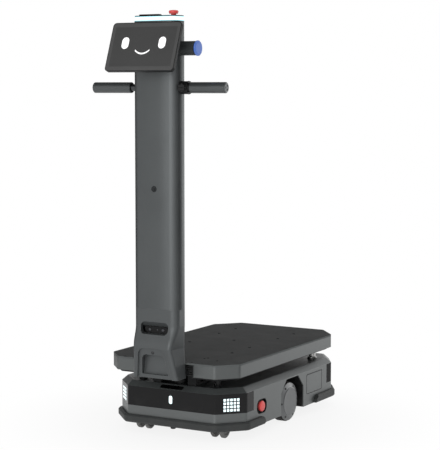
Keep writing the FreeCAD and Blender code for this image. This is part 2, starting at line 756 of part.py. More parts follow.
def drive_motor():
    """Gearmotor of the +X wheel: motor can, gearbox and the bracket that bridges the well."""
    x_axis = Vector(1, 0, 0)
    gearbox_x = LINER_INNER_X - GEARBOX_LENGTH
    plate_end = gearbox_x + MOTOR_PLATE_THICKNESS
    base_top = BASE_BOTTOM + BASE_THICKNESS
    well_y = well_half_length()
    half = well_y + MOTOR_FOOT_WIDTH
    motor = cylinder(MOTOR_RADIUS, Vector(MOTOR_INNER_X, 0, WHEEL_RADIUS), x_axis, gearbox_x - MOTOR_INNER_X)
    gearbox = cylinder(GEARBOX_RADIUS, Vector(gearbox_x, 0, WHEEL_RADIUS), x_axis, GEARBOX_LENGTH)
    flange = cylinder(MOTOR_FLANGE_RADIUS, Vector(gearbox_x, 0, WHEEL_RADIUS), x_axis, MOTOR_PLATE_THICKNESS)
    plate = box(gearbox_x, plate_end, -half, half, base_top, MOTOR_PLATE_TOP)
    pieces = [gearbox, flange, plate]
    foot_top = base_top + MOTOR_FOOT_THICKNESS
    for foot_y in (-half, well_y):
        pieces.append(box(gearbox_x, LINER_INNER_X, foot_y, foot_y + MOTOR_FOOT_WIDTH, base_top, foot_top))
    unit = motor.fuse(pieces).removeSplitter()
    bore_start = Vector(LINER_INNER_X - MOTOR_BORE_DEPTH, 0, WHEEL_RADIUS)
    return unit.cut(cylinder(HUB_SHAFT_RADIUS + RUNNING_CLEARANCE, bore_start, x_axis, MOTOR_BORE_DEPTH))


def drive_hub():
    """Wheel centre on the +X side: rim, shaft and the dished outer cover."""
    cover_x = WHEEL_FACE_X - HUB_COVER_DEPTH
    inner_x = cover_x - TYRE_WIDTH
    boss_x = inner_x + HUB_BOSS_INSET
    web_x = cover_x - HUB_WEB_THICKNESS
    shaft_x = LINER_INNER_X - HUB_SHAFT_DEPTH
    rim_radius = WHEEL_RADIUS - TYRE_THICKNESS
    bowl_radius = rim_radius - HUB_RIM_WALL
    boss_radius = HUB_SHAFT_RADIUS + HUB_BOSS_WALL
    profile = [(0, shaft_x), (HUB_SHAFT_RADIUS, shaft_x), (HUB_SHAFT_RADIUS, boss_x), (boss_radius, boss_x),
               (boss_radius, web_x), (bowl_radius, web_x), (bowl_radius, inner_x), (rim_radius, inner_x),
               (rim_radius, cover_x), (HUB_COVER_RADIUS, cover_x),
               (HUB_COVER_RADIUS, cover_x + HUB_COVER_RIM),
               (HUB_DISC_RADIUS + HUB_DISC_STEP, WHEEL_FACE_X - HUB_DISC_STEP),
               (HUB_DISC_RADIUS, WHEEL_FACE_X), (0, WHEEL_FACE_X)]
    return revolved(profile, Vector(0, 0, WHEEL_RADIUS), Vector(1, 0, 0))


def drive_tyre():
    outer_x = WHEEL_FACE_X - HUB_COVER_DEPTH
    inner_x = outer_x - TYRE_WIDTH
    rim_radius = WHEEL_RADIUS - TYRE_THICKNESS
    shoulder = WHEEL_RADIUS - TYRE_EDGE
    profile = [(rim_radius, inner_x), (shoulder, inner_x), (WHEEL_RADIUS, inner_x + TYRE_EDGE),
               (WHEEL_RADIUS, outer_x - TYRE_EDGE), (shoulder, outer_x), (rim_radius, outer_x)]
    return revolved(profile, Vector(0, 0, WHEEL_RADIUS), Vector(1, 0, 0))


# ---- casters ----
def caster_plate(x, y):
    ceiling = BASE_BOTTOM
    outline = rectangle(x, y, CASTER_PLATE_SIZE, CASTER_PLATE_SIZE)
    plate = plan_prism(outline, ceiling - CASTER_PLATE_THICKNESS, ceiling, CASTER_PLATE_RADIUS)
    bore_radius = CASTER_STEM_RADIUS + RUNNING_CLEARANCE
    return plate.cut(cylinder(bore_radius, Vector(x, y, 0), Vector(0, 0, 1), ceiling))


def caster_plates():
    return Part.makeCompound([caster_plate(x, y) for _, x, y in caster_places()])


def caster_fork(x, y):
    """Hooded core between the twin wheels, with its swivel stem and the wheels' axle."""
    up = Vector(0, 0, 1)
    crown_top = BASE_BOTTOM - CASTER_PLATE_THICKNESS - SWIVEL_GAP
    crown_bottom = crown_top - CASTER_CROWN_HEIGHT
    crown = cylinder(CASTER_CROWN_RADIUS, Vector(x, y, crown_bottom), up, CASTER_CROWN_HEIGHT)
    stem_length = BASE_BOTTOM - CASTER_STEM_INSET - crown_top
    stem = cylinder(CASTER_STEM_RADIUS, Vector(x, y, crown_top), up, stem_length)
    wheel_y = y - CASTER_TRAIL
    axle_z = CASTER_WHEEL_RADIUS
    boss = CASTER_BOSS_RADIUS
    outline = [(y + CASTER_HOOD_BACK, crown_bottom), (y - CASTER_HOOD_FRONT, crown_bottom),
               (wheel_y - boss, axle_z + CASTER_HOOD_HEIGHT), (wheel_y - boss, axle_z - CASTER_BOSS_FLAT),
               (wheel_y, axle_z - boss), (wheel_y + boss, axle_z - CASTER_BOSS_FLAT)]
    half_core = (CASTER_WHEEL_SPACING - CASTER_WHEEL_WIDTH) / 2 - CASTER_CORE_GAP
    core = side_prism(outline, x - half_core, x + half_core)
    axle_half = (CASTER_WHEEL_SPACING + CASTER_WHEEL_WIDTH) / 2 - CASTER_AXLE_INSET
    axle_start = Vector(x - axle_half, wheel_y, axle_z)
    axle = cylinder(CASTER_AXLE_RADIUS, axle_start, Vector(1, 0, 0), 2 * axle_half)
    return core.fuse([crown, stem, axle]).removeSplitter()


def caster_wheels(x, y):
    """Twin wheels with rounded treads and dished hubs, one on each side of the core."""
    bore = CASTER_AXLE_RADIUS + RUNNING_CLEARANCE
    collar = bore + CASTER_HUB_WALL
    tread = CASTER_WHEEL_RADIUS
    half = CASTER_WHEEL_WIDTH / 2
    tread_end = half - CASTER_WHEEL_EDGE
    shoulder = tread - CASTER_WHEEL_EDGE
    dish_x = half - CASTER_HUB_DISH
    profile = [(bore, -half), (shoulder, -half), (tread, -tread_end), (tread, tread_end),
               (shoulder, half), (CASTER_HUB_RADIUS, half), (CASTER_HUB_RADIUS - CASTER_HUB_DISH, dish_x),
               (collar, dish_x), (collar, half), (bore, half)]
    centre = Vector(x, y - CASTER_TRAIL, CASTER_WHEEL_RADIUS)
    outward = Vector(1, 0, 0)
    offset = outward * (CASTER_WHEEL_SPACING / 2)
    return Part.makeCompound([revolved(profile, centre + offset, outward),
                              revolved(profile, centre - offset, outward * -1)])


# ---- load deck ----
def deck_prism(inset, z0, z1):
    front_corner = (DECK_FRONT_CORNER_X, DECK_FRONT_CORNER_Y)
    rear_corner = (DECK_REAR_CORNER_X, DECK_REAR_CORNER_Y)
    outline = corner_outline(DECK_HALF_WIDTH, DECK_FRONT, DECK_REAR, front_corner, rear_corner, inset)
    return plan_prism(outline, z0, z1, DECK_CORNER_RADIUS)


def notch(grow=0.0):
    """Break in the deck's front skirt, behind the foot of the mast."""
    wide = NOTCH_HALF_WIDTH + grow
    back = bracket_leg_back() + NOTCH_CLEARANCE + grow
    return box(-wide, wide, -DECK_FRONT, back, CHASSIS_TOP, DECK_TOP - DECK_PLATE_THICKNESS)


def deck_hole_places():
    places = [(0.0, DECK_HOLE_CENTRE_Y)]
    for spacing_y in (DECK_HOLE_SPACING_Y, DECK_HOLE_OUTER_SPACING_Y):
        places += rectangle(0.0, DECK_HOLE_CENTRE_Y, DECK_HOLE_SPACING_X, spacing_y)
    return places


def deck_plate():
    bottom = DECK_TOP - DECK_PLATE_THICKNESS
    plate = deck_prism(0.0, bottom, DECK_TOP)
    holes = [cylinder(DECK_HOLE_RADIUS, Vector(x, y, bottom), Vector(0, 0, 1), DECK_PLATE_THICKNESS)
             for x, y in deck_hole_places()]
    return plate.cut(holes)


def deck_skirt():
    top = DECK_TOP - DECK_PLATE_THICKNESS
    bottom = DECK_TOP - DECK_SKIRT_HEIGHT
    outer = deck_prism(0.0, bottom, top).cut(notch())
    inner = deck_prism(DECK_SKIRT_WALL, bottom, top).cut(notch(DECK_SKIRT_WALL))
    return outer.cut(inner)


def deck_underplate():
    top = DECK_TOP - DECK_SKIRT_HEIGHT
    plate = deck_prism(DECK_UNDERPLATE_INSET, top - DECK_UNDERPLATE_THICKNESS, top)
    wide = BRACKET_LEG_OUTER_X + NOTCH_CLEARANCE
    passage = box(-wide, wide, -DECK_FRONT, bracket_leg_back() + NOTCH_CLEARANCE, CHASSIS_TOP, top)
    return plate.cut(passage)


def deck_underside():
    """Height of the underside of the deck, where the posts end."""
    return DECK_TOP - DECK_SKIRT_HEIGHT - DECK_UNDERPLATE_THICKNESS


def post_places():
    for name, x, y in (("front", POST_FRONT_X, POST_FRONT_Y), ("rear", POST_REAR_X, POST_REAR_Y)):
        for side, sign in (("left", 1), ("right", -1)):
            yield name + "_" + side, sign * x, y


def deck_posts():
    """Turned spacers with a flange at each end, between the top cover and the deck."""
    height = deck_underside() - CHASSIS_TOP
    flange = POST_FLANGE_HEIGHT
    profile = [(0, 0), (POST_FLANGE_RADIUS, 0), (POST_FLANGE_RADIUS, flange), (POST_RADIUS, flange),
               (POST_RADIUS, height - flange), (POST_FLANGE_RADIUS, height - flange),
               (POST_FLANGE_RADIUS, height), (0, height)]
    up = Vector(0, 0, 1)
    return Part.makeCompound([revolved(profile, Vector(x, y, CHASSIS_TOP), up) for _, x, y in post_places()])


def notch_grille():
    """Ribbed black block that fills the skirt's notch on the +X side of the mast's arm."""
    x0 = BRACKET_LEG_OUTER_X + GRILLE_MAST_GAP
    x1 = NOTCH_HALF_WIDTH
    z0 = DECK_TOP - DECK_SKIRT_HEIGHT
    z1 = DECK_TOP - DECK_PLATE_THICKNESS
    front = -DECK_FRONT
    slot_back = front + GRILLE_DEPTH / 2
    block = box(x0, x1, front, front + GRILLE_DEPTH, z0, z1)
    pitch = (z1 - z0) / (2 * GRILLE_RIBS + 1)
    for rib in range(GRILLE_RIBS + 1):
        slot_z = z0 + 2 * rib * pitch
        block = block.cut(box(x0, x1 - GRILLE_END_WALL, front, slot_back, slot_z, slot_z + pitch))
    return block


def lidar_scanner():
    """Low scanner that looks out through the gap under the deck."""
    height = deck_underside() - CHASSIS_TOP - LIDAR_HEADROOM
    base = LIDAR_BASE_HEIGHT
    lid = height - LIDAR_LID_HEIGHT
    radius = LIDAR_RADIUS
    window_radius = radius - LIDAR_WINDOW_INSET
    profile = [(0, 0), (radius, 0), (radius, base), (window_radius, base), (window_radius, lid), (radius, lid),
               (radius, height), (0, height)]
    return revolved(profile, Vector(0, LIDAR_Y, CHASSIS_TOP), Vector(0, 0, 1))


# ---- mast ----
def mast_section(front_half, rear_half, front, rear, radius, z):
    corners = [(-front_half, -front), (front_half, -front), (rear_half, -rear), (-rear_half, -rear)]
    rear_radius = MAST_REAR_CORNER_RADIUS - max(0.0, rear - MAST_REAR)
    return rounded_wire(plan(corners, z), [radius, radius, rear_radius, rear_radius])


def mast_prism(inset, z0, z1):
    half = MAST_HALF_WIDTH - inset
    wire = mast_section(half, half, MAST_FRONT - inset, MAST_REAR + inset, MAST_CORNER_RADIUS - inset, z0)
    return prism(wire, Vector(0, 0, z1 - z0))


def handle_hole(radius):
    reach = MAST_HALF_WIDTH + MAST_WALL
    return cylinder(radius, Vector(-reach, HANDLE_Y, HANDLE_Z), Vector(1, 0, 0), 2 * reach)


def mast_rear_cover():
    """Flat cover that closes the mast between its two rear edges."""
    half = MAST_HALF_WIDTH - REAR_EDGE_WIDTH
    return box(-half, half, -MAST_REAR - MAST_WALL, -MAST_REAR, MAST_SEAM, MAST_TOP)


def mast_column():
    """Front cover of the mast: front, sides and the two rear edges."""
    shell = mast_prism(0.0, MAST_SEAM, MAST_TOP).cut(mast_prism(MAST_WALL, MAST_SEAM, MAST_TOP))
    lock = cylinder(LOCK_RADIUS, Vector(0, -MAST_FRONT, LOCK_Z), Vector(0, 1, 0), MAST_WALL)
    return shell.cut([mast_rear_cover(), lock, handle_hole(HANDLE_TUBE_RADIUS)])


def spine_front():
    return MAST_FRONT - SPINE_FRONT_GAP


def spine_rear():
    return MAST_REAR + SPINE_REAR_GAP


def mast_spine():
    """Square steel tube inside the mast, from the foot bracket to the top."""
    half = SPINE_HALF_WIDTH
    top = MAST_TOP - RING_HEIGHT
    outer = box(-half, half, -spine_front(), -spine_rear(), BRACKET_ARM_TOP, top)
    wall = SPINE_WALL
    inner = box(wall - half, half - wall, wall - spine_front(), -spine_rear() - wall, BRACKET_ARM_TOP, top)
    return outer.cut([inner, handle_hole(HANDLE_TUBE_RADIUS)])


def cover_lock():
    """Round lock that holds the mast's front cover to the spine."""
    body = cylinder(LOCK_RADIUS, Vector(0, -MAST_FRONT, LOCK_Z), Vector(0, 1, 0), MAST_FRONT - spine_front())
    slot = rectangle(0.0, LOCK_Z, KEY_SLOT_WIDTH, KEY_SLOT_HEIGHT)
    return body.cut(front_prism(slot, -MAST_FRONT, KEY_SLOT_DEPTH - MAST_FRONT))


def shroud_front(z):
    """How far the shroud's front face is in front of the axle at height z."""
    if z >= SHROUD_NOSE_Z:
        share = max(0.0, (SHROUD_BLEND_TOP - z) / (SHROUD_BLEND_TOP - SHROUD_NOSE_Z))
        return MAST_FRONT + SHROUD_NOSE_REACH * (1 - math.cos(math.pi * min(share, 1.0))) / 2
    share = (SHROUD_NOSE_Z - z) / (SHROUD_NOSE_Z - SHROUD_BOTTOM)
    return MAST_FRONT + SHROUD_NOSE_REACH + (SHROUD_FOOT_REACH - SHROUD_NOSE_REACH) * share


def shroud_section(z, inset):
    low_share = max(0.0, (SHROUD_NOSE_Z - z) / (SHROUD_NOSE_Z - SHROUD_BOTTOM))
    high_share = min(1.0, max(0.0, (z - SHROUD_NOSE_Z) / (SHROUD_BLEND_TOP - SHROUD_NOSE_Z)))
    half = MAST_HALF_WIDTH + (SHROUD_FOOT_HALF_WIDTH - MAST_HALF_WIDTH) * low_share
    nose_half = half + (SHROUD_NOSE_HALF_WIDTH - MAST_HALF_WIDTH) * (1 - low_share) * (1 - high_share)
    radius = SHROUD_NOSE_RADIUS + (MAST_CORNER_RADIUS - SHROUD_NOSE_RADIUS) * high_share - inset
    return mast_section(nose_half - inset, half - inset, shroud_front(z) - inset, MAST_REAR + inset, radius, z)


def shroud_form(inset):
    """Outer form of the foot shroud: straight neck, nose that swells forward, raked legs."""
    step = (SHROUD_BLEND_TOP - SHROUD_NOSE_Z) / SHROUD_BLEND_SECTIONS
    levels = [SHROUD_NOSE_Z + i * step for i in range(SHROUD_BLEND_SECTIONS + 1)]
    neck = ruled([shroud_section(SHROUD_BLEND_TOP, inset), shroud_section(MAST_SEAM, inset)])
    nose = Part.makeLoft([shroud_section(z, inset) for z in levels], True, False)
    legs = ruled([shroud_section(SHROUD_BOTTOM, inset), shroud_section(SHROUD_NOSE_Z, inset)])
    return legs.fuse([nose, neck])


def before_shroud():
    """A y value well in front of the shroud, where cutting prisms start."""
    return -MAST_FRONT - 2 * SHROUD_NOSE_REACH


def pocket_back():
    return POCKET_DEPTH - MAST_FRONT


def arch_recess():
    """Shallow arch between the legs that follows the rake of the shroud's front."""
    low = SHROUD_BOTTOM
    high = ARCH_RECESS_TOP
    foot = ARCH_RECESS_FOOT_HALF_WIDTH
    head = ARCH_RECESS_TOP_HALF_WIDTH
    outline = [(-foot, low), (foot, low), (head, high), (-head, high)]
    radii = [0.0, 0.0, ARCH_RECESS_RADIUS, ARCH_RECESS_RADIUS]
    far = before_shroud()
    arch = front_prism(outline, far, -MAST_REAR, radii)
    back_low = ARCH_RECESS_DEPTH - shroud_front(low)
    back_high = ARCH_RECESS_DEPTH - shroud_front(SHROUD_NOSE_Z)
    side = [(far, low), (back_low, low), (back_high, high), (far, high)]
    return arch.common(side_prism(side, -foot, foot))


def pocket():
    """Deep pocket in the arch, above a sill."""
    foot = POCKET_FOOT_HALF_WIDTH
    head = POCKET_TOP_HALF_WIDTH
    outline = [(-foot, POCKET_SILL), (foot, POCKET_SILL), (head, POCKET_TOP), (-head, POCKET_TOP)]
    radii = [POCKET_SILL_RADIUS, POCKET_SILL_RADIUS, POCKET_TOP_RADIUS, POCKET_TOP_RADIUS]
    return front_prism(outline, before_shroud(), pocket_back(), radii)


def scoop_outline(grow):
    middle = (SCOOP_TOP + SCOOP_BOTTOM) / 2
    return rectangle(0.0, middle, 2 * (SCOOP_HALF_WIDTH + grow), SCOOP_TOP - SCOOP_BOTTOM + 2 * grow)


def scoop():
    """Pill-shaped hollow whose upper face slopes in towards the depth camera."""
    far = before_shroud()
    low = SCOOP_BOTTOM
    back = SCOOP_DEPTH - MAST_FRONT
    eye_top = low + SCOOP_SILL + EYE_HEIGHT + EYE_MARGIN
    side = [(far, low), (back - SCOOP_SILL_RAKE, low), (back, low + SCOOP_SILL), (back, eye_top),
            (-MAST_FRONT, SCOOP_TOP), (far, SCOOP_TOP)]
    pill = front_prism(scoop_outline(0.0), far, -MAST_REAR, SCOOP_RADIUS)
    return pill.common(side_prism(side, -SCOOP_HALF_WIDTH, SCOOP_HALF_WIDTH))


def scoop_backing():
    """Block of the shroud's wall that backs the scoop."""
    return front_prism(scoop_outline(MAST_WALL), -MAST_FRONT, SCOOP_DEPTH - MAST_FRONT, SCOOP_RADIUS)


def camera_prism(y0, y1):
    outline = rectangle(0.0, SCOOP_BOTTOM + SCOOP_SILL + EYE_HEIGHT / 2, 2 * EYE_HALF_WIDTH, EYE_HEIGHT)
    return front_prism(outline, y0, y1, EYE_RADIUS)


def depth_camera():
    """Camera bar behind the scoop, its black window just proud of the hollow's back."""
    return camera_prism(SCOOP_DEPTH - MAST_FRONT - EYE_PROUD, -spine_front())


def floor_camera():
    """Small round camera in the head of the arch."""
    front = ARCH_RECESS_DEPTH + FLOOR_CAMERA_INSET - shroud_front(FLOOR_CAMERA_Z)
    length = MAST_WALL + pocket_back() - front
    return cylinder(FLOOR_CAMERA_RADIUS, Vector(0, front, FLOOR_CAMERA_Z), Vector(0, 1, 0), length)


def foot_shroud():
    """Moulded foot of the mast, hollow behind the pocket and open at the top and bottom."""
    wide = SHROUD_FOOT_HALF_WIDTH
    rear = -MAST_REAR - MAST_WALL
    waist = ARCH_RECESS_TOP + ARCH_RECESS_DEPTH
    behind_pocket = box(-wide, wide, MAST_WALL + pocket_back(), rear, SHROUD_BOTTOM, waist)
    upper = box(-wide, wide, MAST_WALL - MAST_FRONT, rear, waist, MAST_SEAM)
    hollow = shroud_form(MAST_WALL).common(behind_pocket.fuse(upper)).cut(scoop_backing())
    eye = camera_prism(-MAST_FRONT, rear)
    arm_x = BRACKET_LEG_OUTER_X
    arm_slot = box(-arm_x, arm_x, rear - MAST_CORNER_RADIUS, -MAST_REAR, SHROUD_BOTTOM, BRACKET_ARM_TOP)
    cuts = [hollow, arch_recess(), pocket(), scoop(), eye, arm_slot, floor_camera()]
    return shroud_form(0.0).cut(cuts).removeSplitter()


def bracket_leg_back():
    return BEVEL_INSET + TOP_LIP - CHASSIS_FRONT + BRACKET_LEG_THICKNESS


def mast_foot_bracket():
    """Cast bracket: two legs on the chassis, an arm through the deck's notch, and the seat
    and cheeks that hold the spine."""
    leg_back = bracket_leg_back()
    leg_front = leg_back - BRACKET_LEG_THICKNESS
    flange_back = leg_front + BRACKET_FLANGE_LENGTH
    flange_top = CHASSIS_TOP + BRACKET_FLANGE_THICKNESS
    low = BRACKET_ARM_BOTTOM
    high = BRACKET_ARM_TOP
    outline = [(leg_front, CHASSIS_TOP), (flange_back, CHASSIS_TOP), (flange_back, flange_top),
               (leg_back + BRACKET_GUSSET, flange_top), (leg_back, flange_top + BRACKET_GUSSET),
               (leg_back, high), (leg_front, high)]
    leg = side_prism(outline, BRACKET_LEG_INNER_X, BRACKET_LEG_OUTER_X)
    inner_rear = -MAST_REAR - MAST_WALL
    arm = box(-BRACKET_LEG_OUTER_X, BRACKET_LEG_OUTER_X, inner_rear, leg_back, low, high)
    half = SPINE_HALF_WIDTH
    wide = half + BRACKET_CHEEK_WALL
    seat = box(-wide, wide, -spine_front(), inner_rear, low, high)
    cheek = box(half, wide, -spine_front(), -spine_rear(), high, SHROUD_NOSE_Z)
    return arm.fuse([both_sides(leg), seat, both_sides(cheek)]).removeSplitter()


# ---- handlebar ----
def handle_tube():
    half = HANDLE_HALF_LENGTH - GRIP_END_WALL
    start = Vector(-half, HANDLE_Y, HANDLE_Z)
    x_axis = Vector(1, 0, 0)
    outer = cylinder(HANDLE_TUBE_RADIUS, start, x_axis, 2 * half)
    return outer.cut(cylinder(HANDLE_TUBE_RADIUS - HANDLE_TUBE_WALL, start, x_axis, 2 * half))


def grip(inner_x, mouth_depth, outward):
    """Rubber sleeve with a closed end, broken edges and a wider mouth round the tube."""
    end = HANDLE_HALF_LENGTH
    tube = HANDLE_TUBE_RADIUS
    mouth = GRIP_RADIUS - GRIP_MOUTH_WALL
    rounded = GRIP_RADIUS - GRIP_EDGE
    profile = [(tube, inner_x + mouth_depth), (tube, end - GRIP_END_WALL), (0, end - GRIP_END_WALL), (0, end),
               (rounded, end), (GRIP_RADIUS, end - GRIP_EDGE), (GRIP_RADIUS, inner_x + GRIP_EDGE),
               (rounded, inner_x), (mouth, inner_x), (mouth, inner_x + mouth_depth)]
    return revolved(profile, Vector(0, HANDLE_Y, HANDLE_Z), outward)


def handle_grip_left():
    """Grip on the +X side, up against the clamp's neck."""
    inner_x = MAST_HALF_WIDTH + CLAMP_LENGTH + CLAMP_NECK_LENGTH
    return grip(inner_x, GRIP_EDGE, Vector(1, 0, 0))


def handle_grip_right():
    """Grip on the -X side, with its inner end open round the tube."""
    return grip(GRIP_INNER_X, GRIP_MOUTH_DEPTH, Vector(-1, 0, 0))


def handle_clamp():
    """Split collar with a hole for a pinch screw, which locks the bar at the mast's side."""
    x0 = MAST_HALF_WIDTH
    x1 = x0 + CLAMP_LENGTH
    y = HANDLE_Y
    z = HANDLE_Z
    x_axis = Vector(1, 0, 0)
    collar = cylinder(CLAMP_RADIUS, Vector(x0, y, z), x_axis, CLAMP_LENGTH)
    neck = cylinder(CLAMP_NECK_RADIUS, Vector(x1, y, z), x_axis, CLAMP_NECK_LENGTH)
    ear_end = y - CLAMP_RADIUS - CLAMP_EAR_REACH
    ear = box(x0 + CLAMP_EAR_INSET, x1 - CLAMP_EAR_INSET, ear_end, y,
              z - CLAMP_EAR_HALF_HEIGHT, z + CLAMP_EAR_HALF_HEIGHT)
    split = box(x0, x1 + CLAMP_NECK_LENGTH, ear_end, y, z - CLAMP_SPLIT / 2, z + CLAMP_SPLIT / 2)
    screw_start = Vector((x0 + x1) / 2, y - CLAMP_RADIUS, z - CLAMP_RADIUS)
    screw_hole = cylinder(CLAMP_SCREW_RADIUS, screw_start, Vector(0, 0, 1), 2 * CLAMP_RADIUS)
    bore = cylinder(HANDLE_TUBE_RADIUS, Vector(x0, y, z), x_axis, CLAMP_LENGTH + CLAMP_NECK_LENGTH)
    return collar.fuse([ear, neck]).cut([bore, split, screw_hole]).removeSplitter()


# ---- mast head ----
def light_ring():
    top = MAST_TOP + RING_HEIGHT
    return mast_prism(0.0, MAST_TOP, top).cut(mast_prism(RING_WALL, MAST_TOP, top))


def top_stop_block(radius, bottom):
    return cylinder(radius, Vector(TOP_STOP_X, TOP_STOP_Y, bottom), Vector(0, 0, 1), CAP_TOP - bottom)


def top_cap():
    cap = mast_prism(CAP_INSET, MAST_TOP + RING_HEIGHT, CAP_TOP)
    return cap.cut(top_stop_block(STOP_STEM_RADIUS + STOP_BLOCK_WALL, MAST_TOP))


def antenna_cover():
    """Low bar over the radio antennas, next to the stop button."""
    bottom = CAP_TOP
    top = bottom + ANTENNA_HEIGHT
    outline = rectangle(ANTENNA_X, TOP_STOP_Y, ANTENNA_LENGTH, ANTENNA_DEPTH)
    cover = plan_prism(outline, bottom, top, ANTENNA_RADIUS)
    top_edges = [edge for edge in cover.Edges if edge.BoundBox.ZMin > (bottom + top) / 2]
    return cover.makeChamfer(ANTENNA_EDGE, top_edges)


def top_stop_base():
    """Contact block under the top button, held in the cap."""
    block = top_stop_block(STOP_STEM_RADIUS + STOP_BLOCK_WALL, MAST_TOP)
    return block.cut(top_stop_block(STOP_STEM_RADIUS + RUNNING_CLEARANCE, MAST_TOP + STOP_BLOCK_FLOOR))


def stop_button(head_radius, stem_length, origin, axis):
    """Red mushroom button: stem, waist and domed head. origin is the underside of the head."""
    stem = STOP_STEM_RADIUS
    height = STOP_HEAD_HEIGHT
    waist = head_radius * 0.92
    profile = [(0, -stem_length), (stem, -stem_length), (stem, 0), (waist, 0), (waist, height * 0.25),
               (head_radius, height * 0.45), (head_radius, height * 0.7), (head_radius * 0.85, height * 0.92),
               (head_radius * 0.45, height), (0, height)]
    return revolved(profile, origin, axis)


def top_stop_button():
    origin = Vector(TOP_STOP_X, TOP_STOP_Y, OVERALL_HEIGHT - STOP_HEAD_HEIGHT)
    return stop_button(STOP_HEAD_RADIUS, STOP_LIFT + STOP_STEM_EXTRA, origin, Vector(0, 0, 1))


def stop_cup_outer():
    face = CHASSIS_HALF_WIDTH
    wall = SIDE_STOP_CUP_WALL
    bottom = face - SIDE_STOP_RECESS_DEPTH - wall
    return side_prism(stop_recess(wall), bottom, face, SIDE_STOP_RECESS_RADIUS + wall)


def stop_housing():
    """Black cup in the side wall with the contact block of the +X stop button."""
    face = CHASSIS_HALF_WIDTH
    floor_x = face - SIDE_STOP_RECESS_DEPTH
    block_x = floor_x - STOP_BLOCK_LENGTH
    bore_x = block_x + STOP_BLOCK_FLOOR
    bore_radius = STOP_STEM_RADIUS + RUNNING_CLEARANCE
    x_axis = Vector(1, 0, 0)
    hollow = side_prism(stop_recess(0.0), floor_x, face, SIDE_STOP_RECESS_RADIUS)
    block_start = Vector(block_x, SIDE_STOP_Y, SIDE_STOP_Z)
    block = cylinder(bore_radius + STOP_BLOCK_WALL, block_start, x_axis, STOP_BLOCK_LENGTH)
    bore = cylinder(bore_radius, Vector(bore_x, SIDE_STOP_Y, SIDE_STOP_Z), x_axis, floor_x - bore_x)
    return stop_cup_outer().cut(hollow).fuse(block).cut(bore)


def side_stop_button():
    origin = Vector(CHASSIS_HALF_WIDTH - SIDE_STOP_RECESS_DEPTH + STOP_LIFT, SIDE_STOP_Y, SIDE_STOP_Z)
    return stop_button(SIDE_STOP_HEAD_RADIUS, STOP_LIFT + STOP_STEM_EXTRA, origin, Vector(1, 0, 0))


def call_button_housing():
    """Round black barrel on the mast's +X side."""
    x_axis = Vector(1, 0, 0)
    start = Vector(MAST_HALF_WIDTH, CALL_BUTTON_Y, CALL_BUTTON_Z)
    length = CALL_HOUSING_END_X - MAST_HALF_WIDTH
    bore_start = start + x_axis * (length / 2)
    barrel = cylinder(CALL_HOUSING_RADIUS, start, x_axis, length)
    return barrel.cut(cylinder(STOP_STEM_RADIUS + RUNNING_CLEARANCE, bore_start, x_axis, length / 2))


def call_button():
    """Blue push button with a rim and a raised centre."""
    stem = STOP_STEM_RADIUS
    near = CALL_TRAVEL + STOP_GAP
    rim = near + CALL_RIM
    lens = CALL_LENS_RADIUS
    centre = CALL_CENTRE_RADIUS
    edge = CALL_EDGE
    top = rim + CALL_CENTRE_RISE
    profile = [(0, -CALL_STEM_LENGTH), (stem, -CALL_STEM_LENGTH), (stem, near), (lens, near),
               (lens, rim - edge), (lens - edge, rim), (centre + edge, rim), (centre, top), (0, top)]
    return revolved(profile, Vector(CALL_HOUSING_END_X, CALL_BUTTON_Y, CALL_BUTTON_Z), Vector(1, 0, 0))


# ---- display ----
def place_on_display(shape):
    """From the display's own frame (X across, Y into it, Z up its face) to the robot's."""
    tilt = Rotation(Vector(1, 0, 0), -DISPLAY_TILT)
    shape.Placement = Placement(Vector(0, DISPLAY_CENTRE_Y, DISPLAY_CENTRE_Z), tilt)
    return shape


def display_prism(inset, depth):
    outline = rectangle(0.0, 0.0, DISPLAY_WIDTH - 2 * inset, DISPLAY_HEIGHT - 2 * inset)
    return front_prism(outline, 0.0, depth, DISPLAY_CORNER_RADIUS - inset)


def display_back_wire(depth, flare):
    outline = rectangle(0.0, 0.0, DISPLAY_BACK_WIDTH + 2 * flare, DISPLAY_BACK_HEIGHT + 2 * flare)
    return rounded_wire([Vector(x, depth, z) for x, z in outline], DISPLAY_BACK_RADIUS)


def display_housing():
    """Display case: flat body with a seat for the glass and a tapered box on its back."""
    seat = display_prism(DISPLAY_RIM, DISPLAY_GLASS_THICKNESS)
    back = ruled([display_back_wire(DISPLAY_THICKNESS, DISPLAY_BACK_FLARE),
                  display_back_wire(DISPLAY_THICKNESS + DISPLAY_BACK_DEPTH, 0.0)])
    return place_on_display(display_prism(0.0, DISPLAY_THICKNESS).cut(seat).fuse(back))


def display_glass():
    return place_on_display(display_prism(DISPLAY_RIM, DISPLAY_GLASS_THICKNESS))


def display_bracket():
    """Arm from the mast's front face to the back of the display."""
    tilt = math.radians(DISPLAY_TILT)
    depth = DISPLAY_THICKNESS + DISPLAY_BACK_DEPTH
    back_y = DISPLAY_CENTRE_Y + depth * math.cos(tilt)
    back_z = DISPLAY_CENTRE_Z - depth * math.sin(tilt)
    rise = DISPLAY_ARM_HALF_HEIGHT * math.cos(tilt)
    lean = DISPLAY_ARM_HALF_HEIGHT * math.sin(tilt)
    outline = [(back_y - lean, back_z - rise), (-MAST_FRONT, back_z - rise), (-MAST_FRONT, back_z + rise),
               (back_y + lean, back_z + rise)]
    return side_prism(outline, -DISPLAY_ARM_HALF_WIDTH, DISPLAY_ARM_HALF_WIDTH)


# ---- charge port and its flap ----
def flap_axis():
    """A point on the flap's hinge line, along Y at the flap's top edge."""
    half = FLAP_THICKNESS / 2
    return Vector(CHASSIS_HALF_WIDTH - half, FLAP_CENTRE_Y, FLAP_CENTRE_Z + FLAP_HEIGHT / 2 - half)


def along_flap(radius, half_length):
    """Cylinder on the flap's hinge line, middled on the flap."""
    start = flap_axis() - Vector(0, half_length, 0)
    return cylinder(radius, start, Vector(0, 1, 0), 2 * half_length)


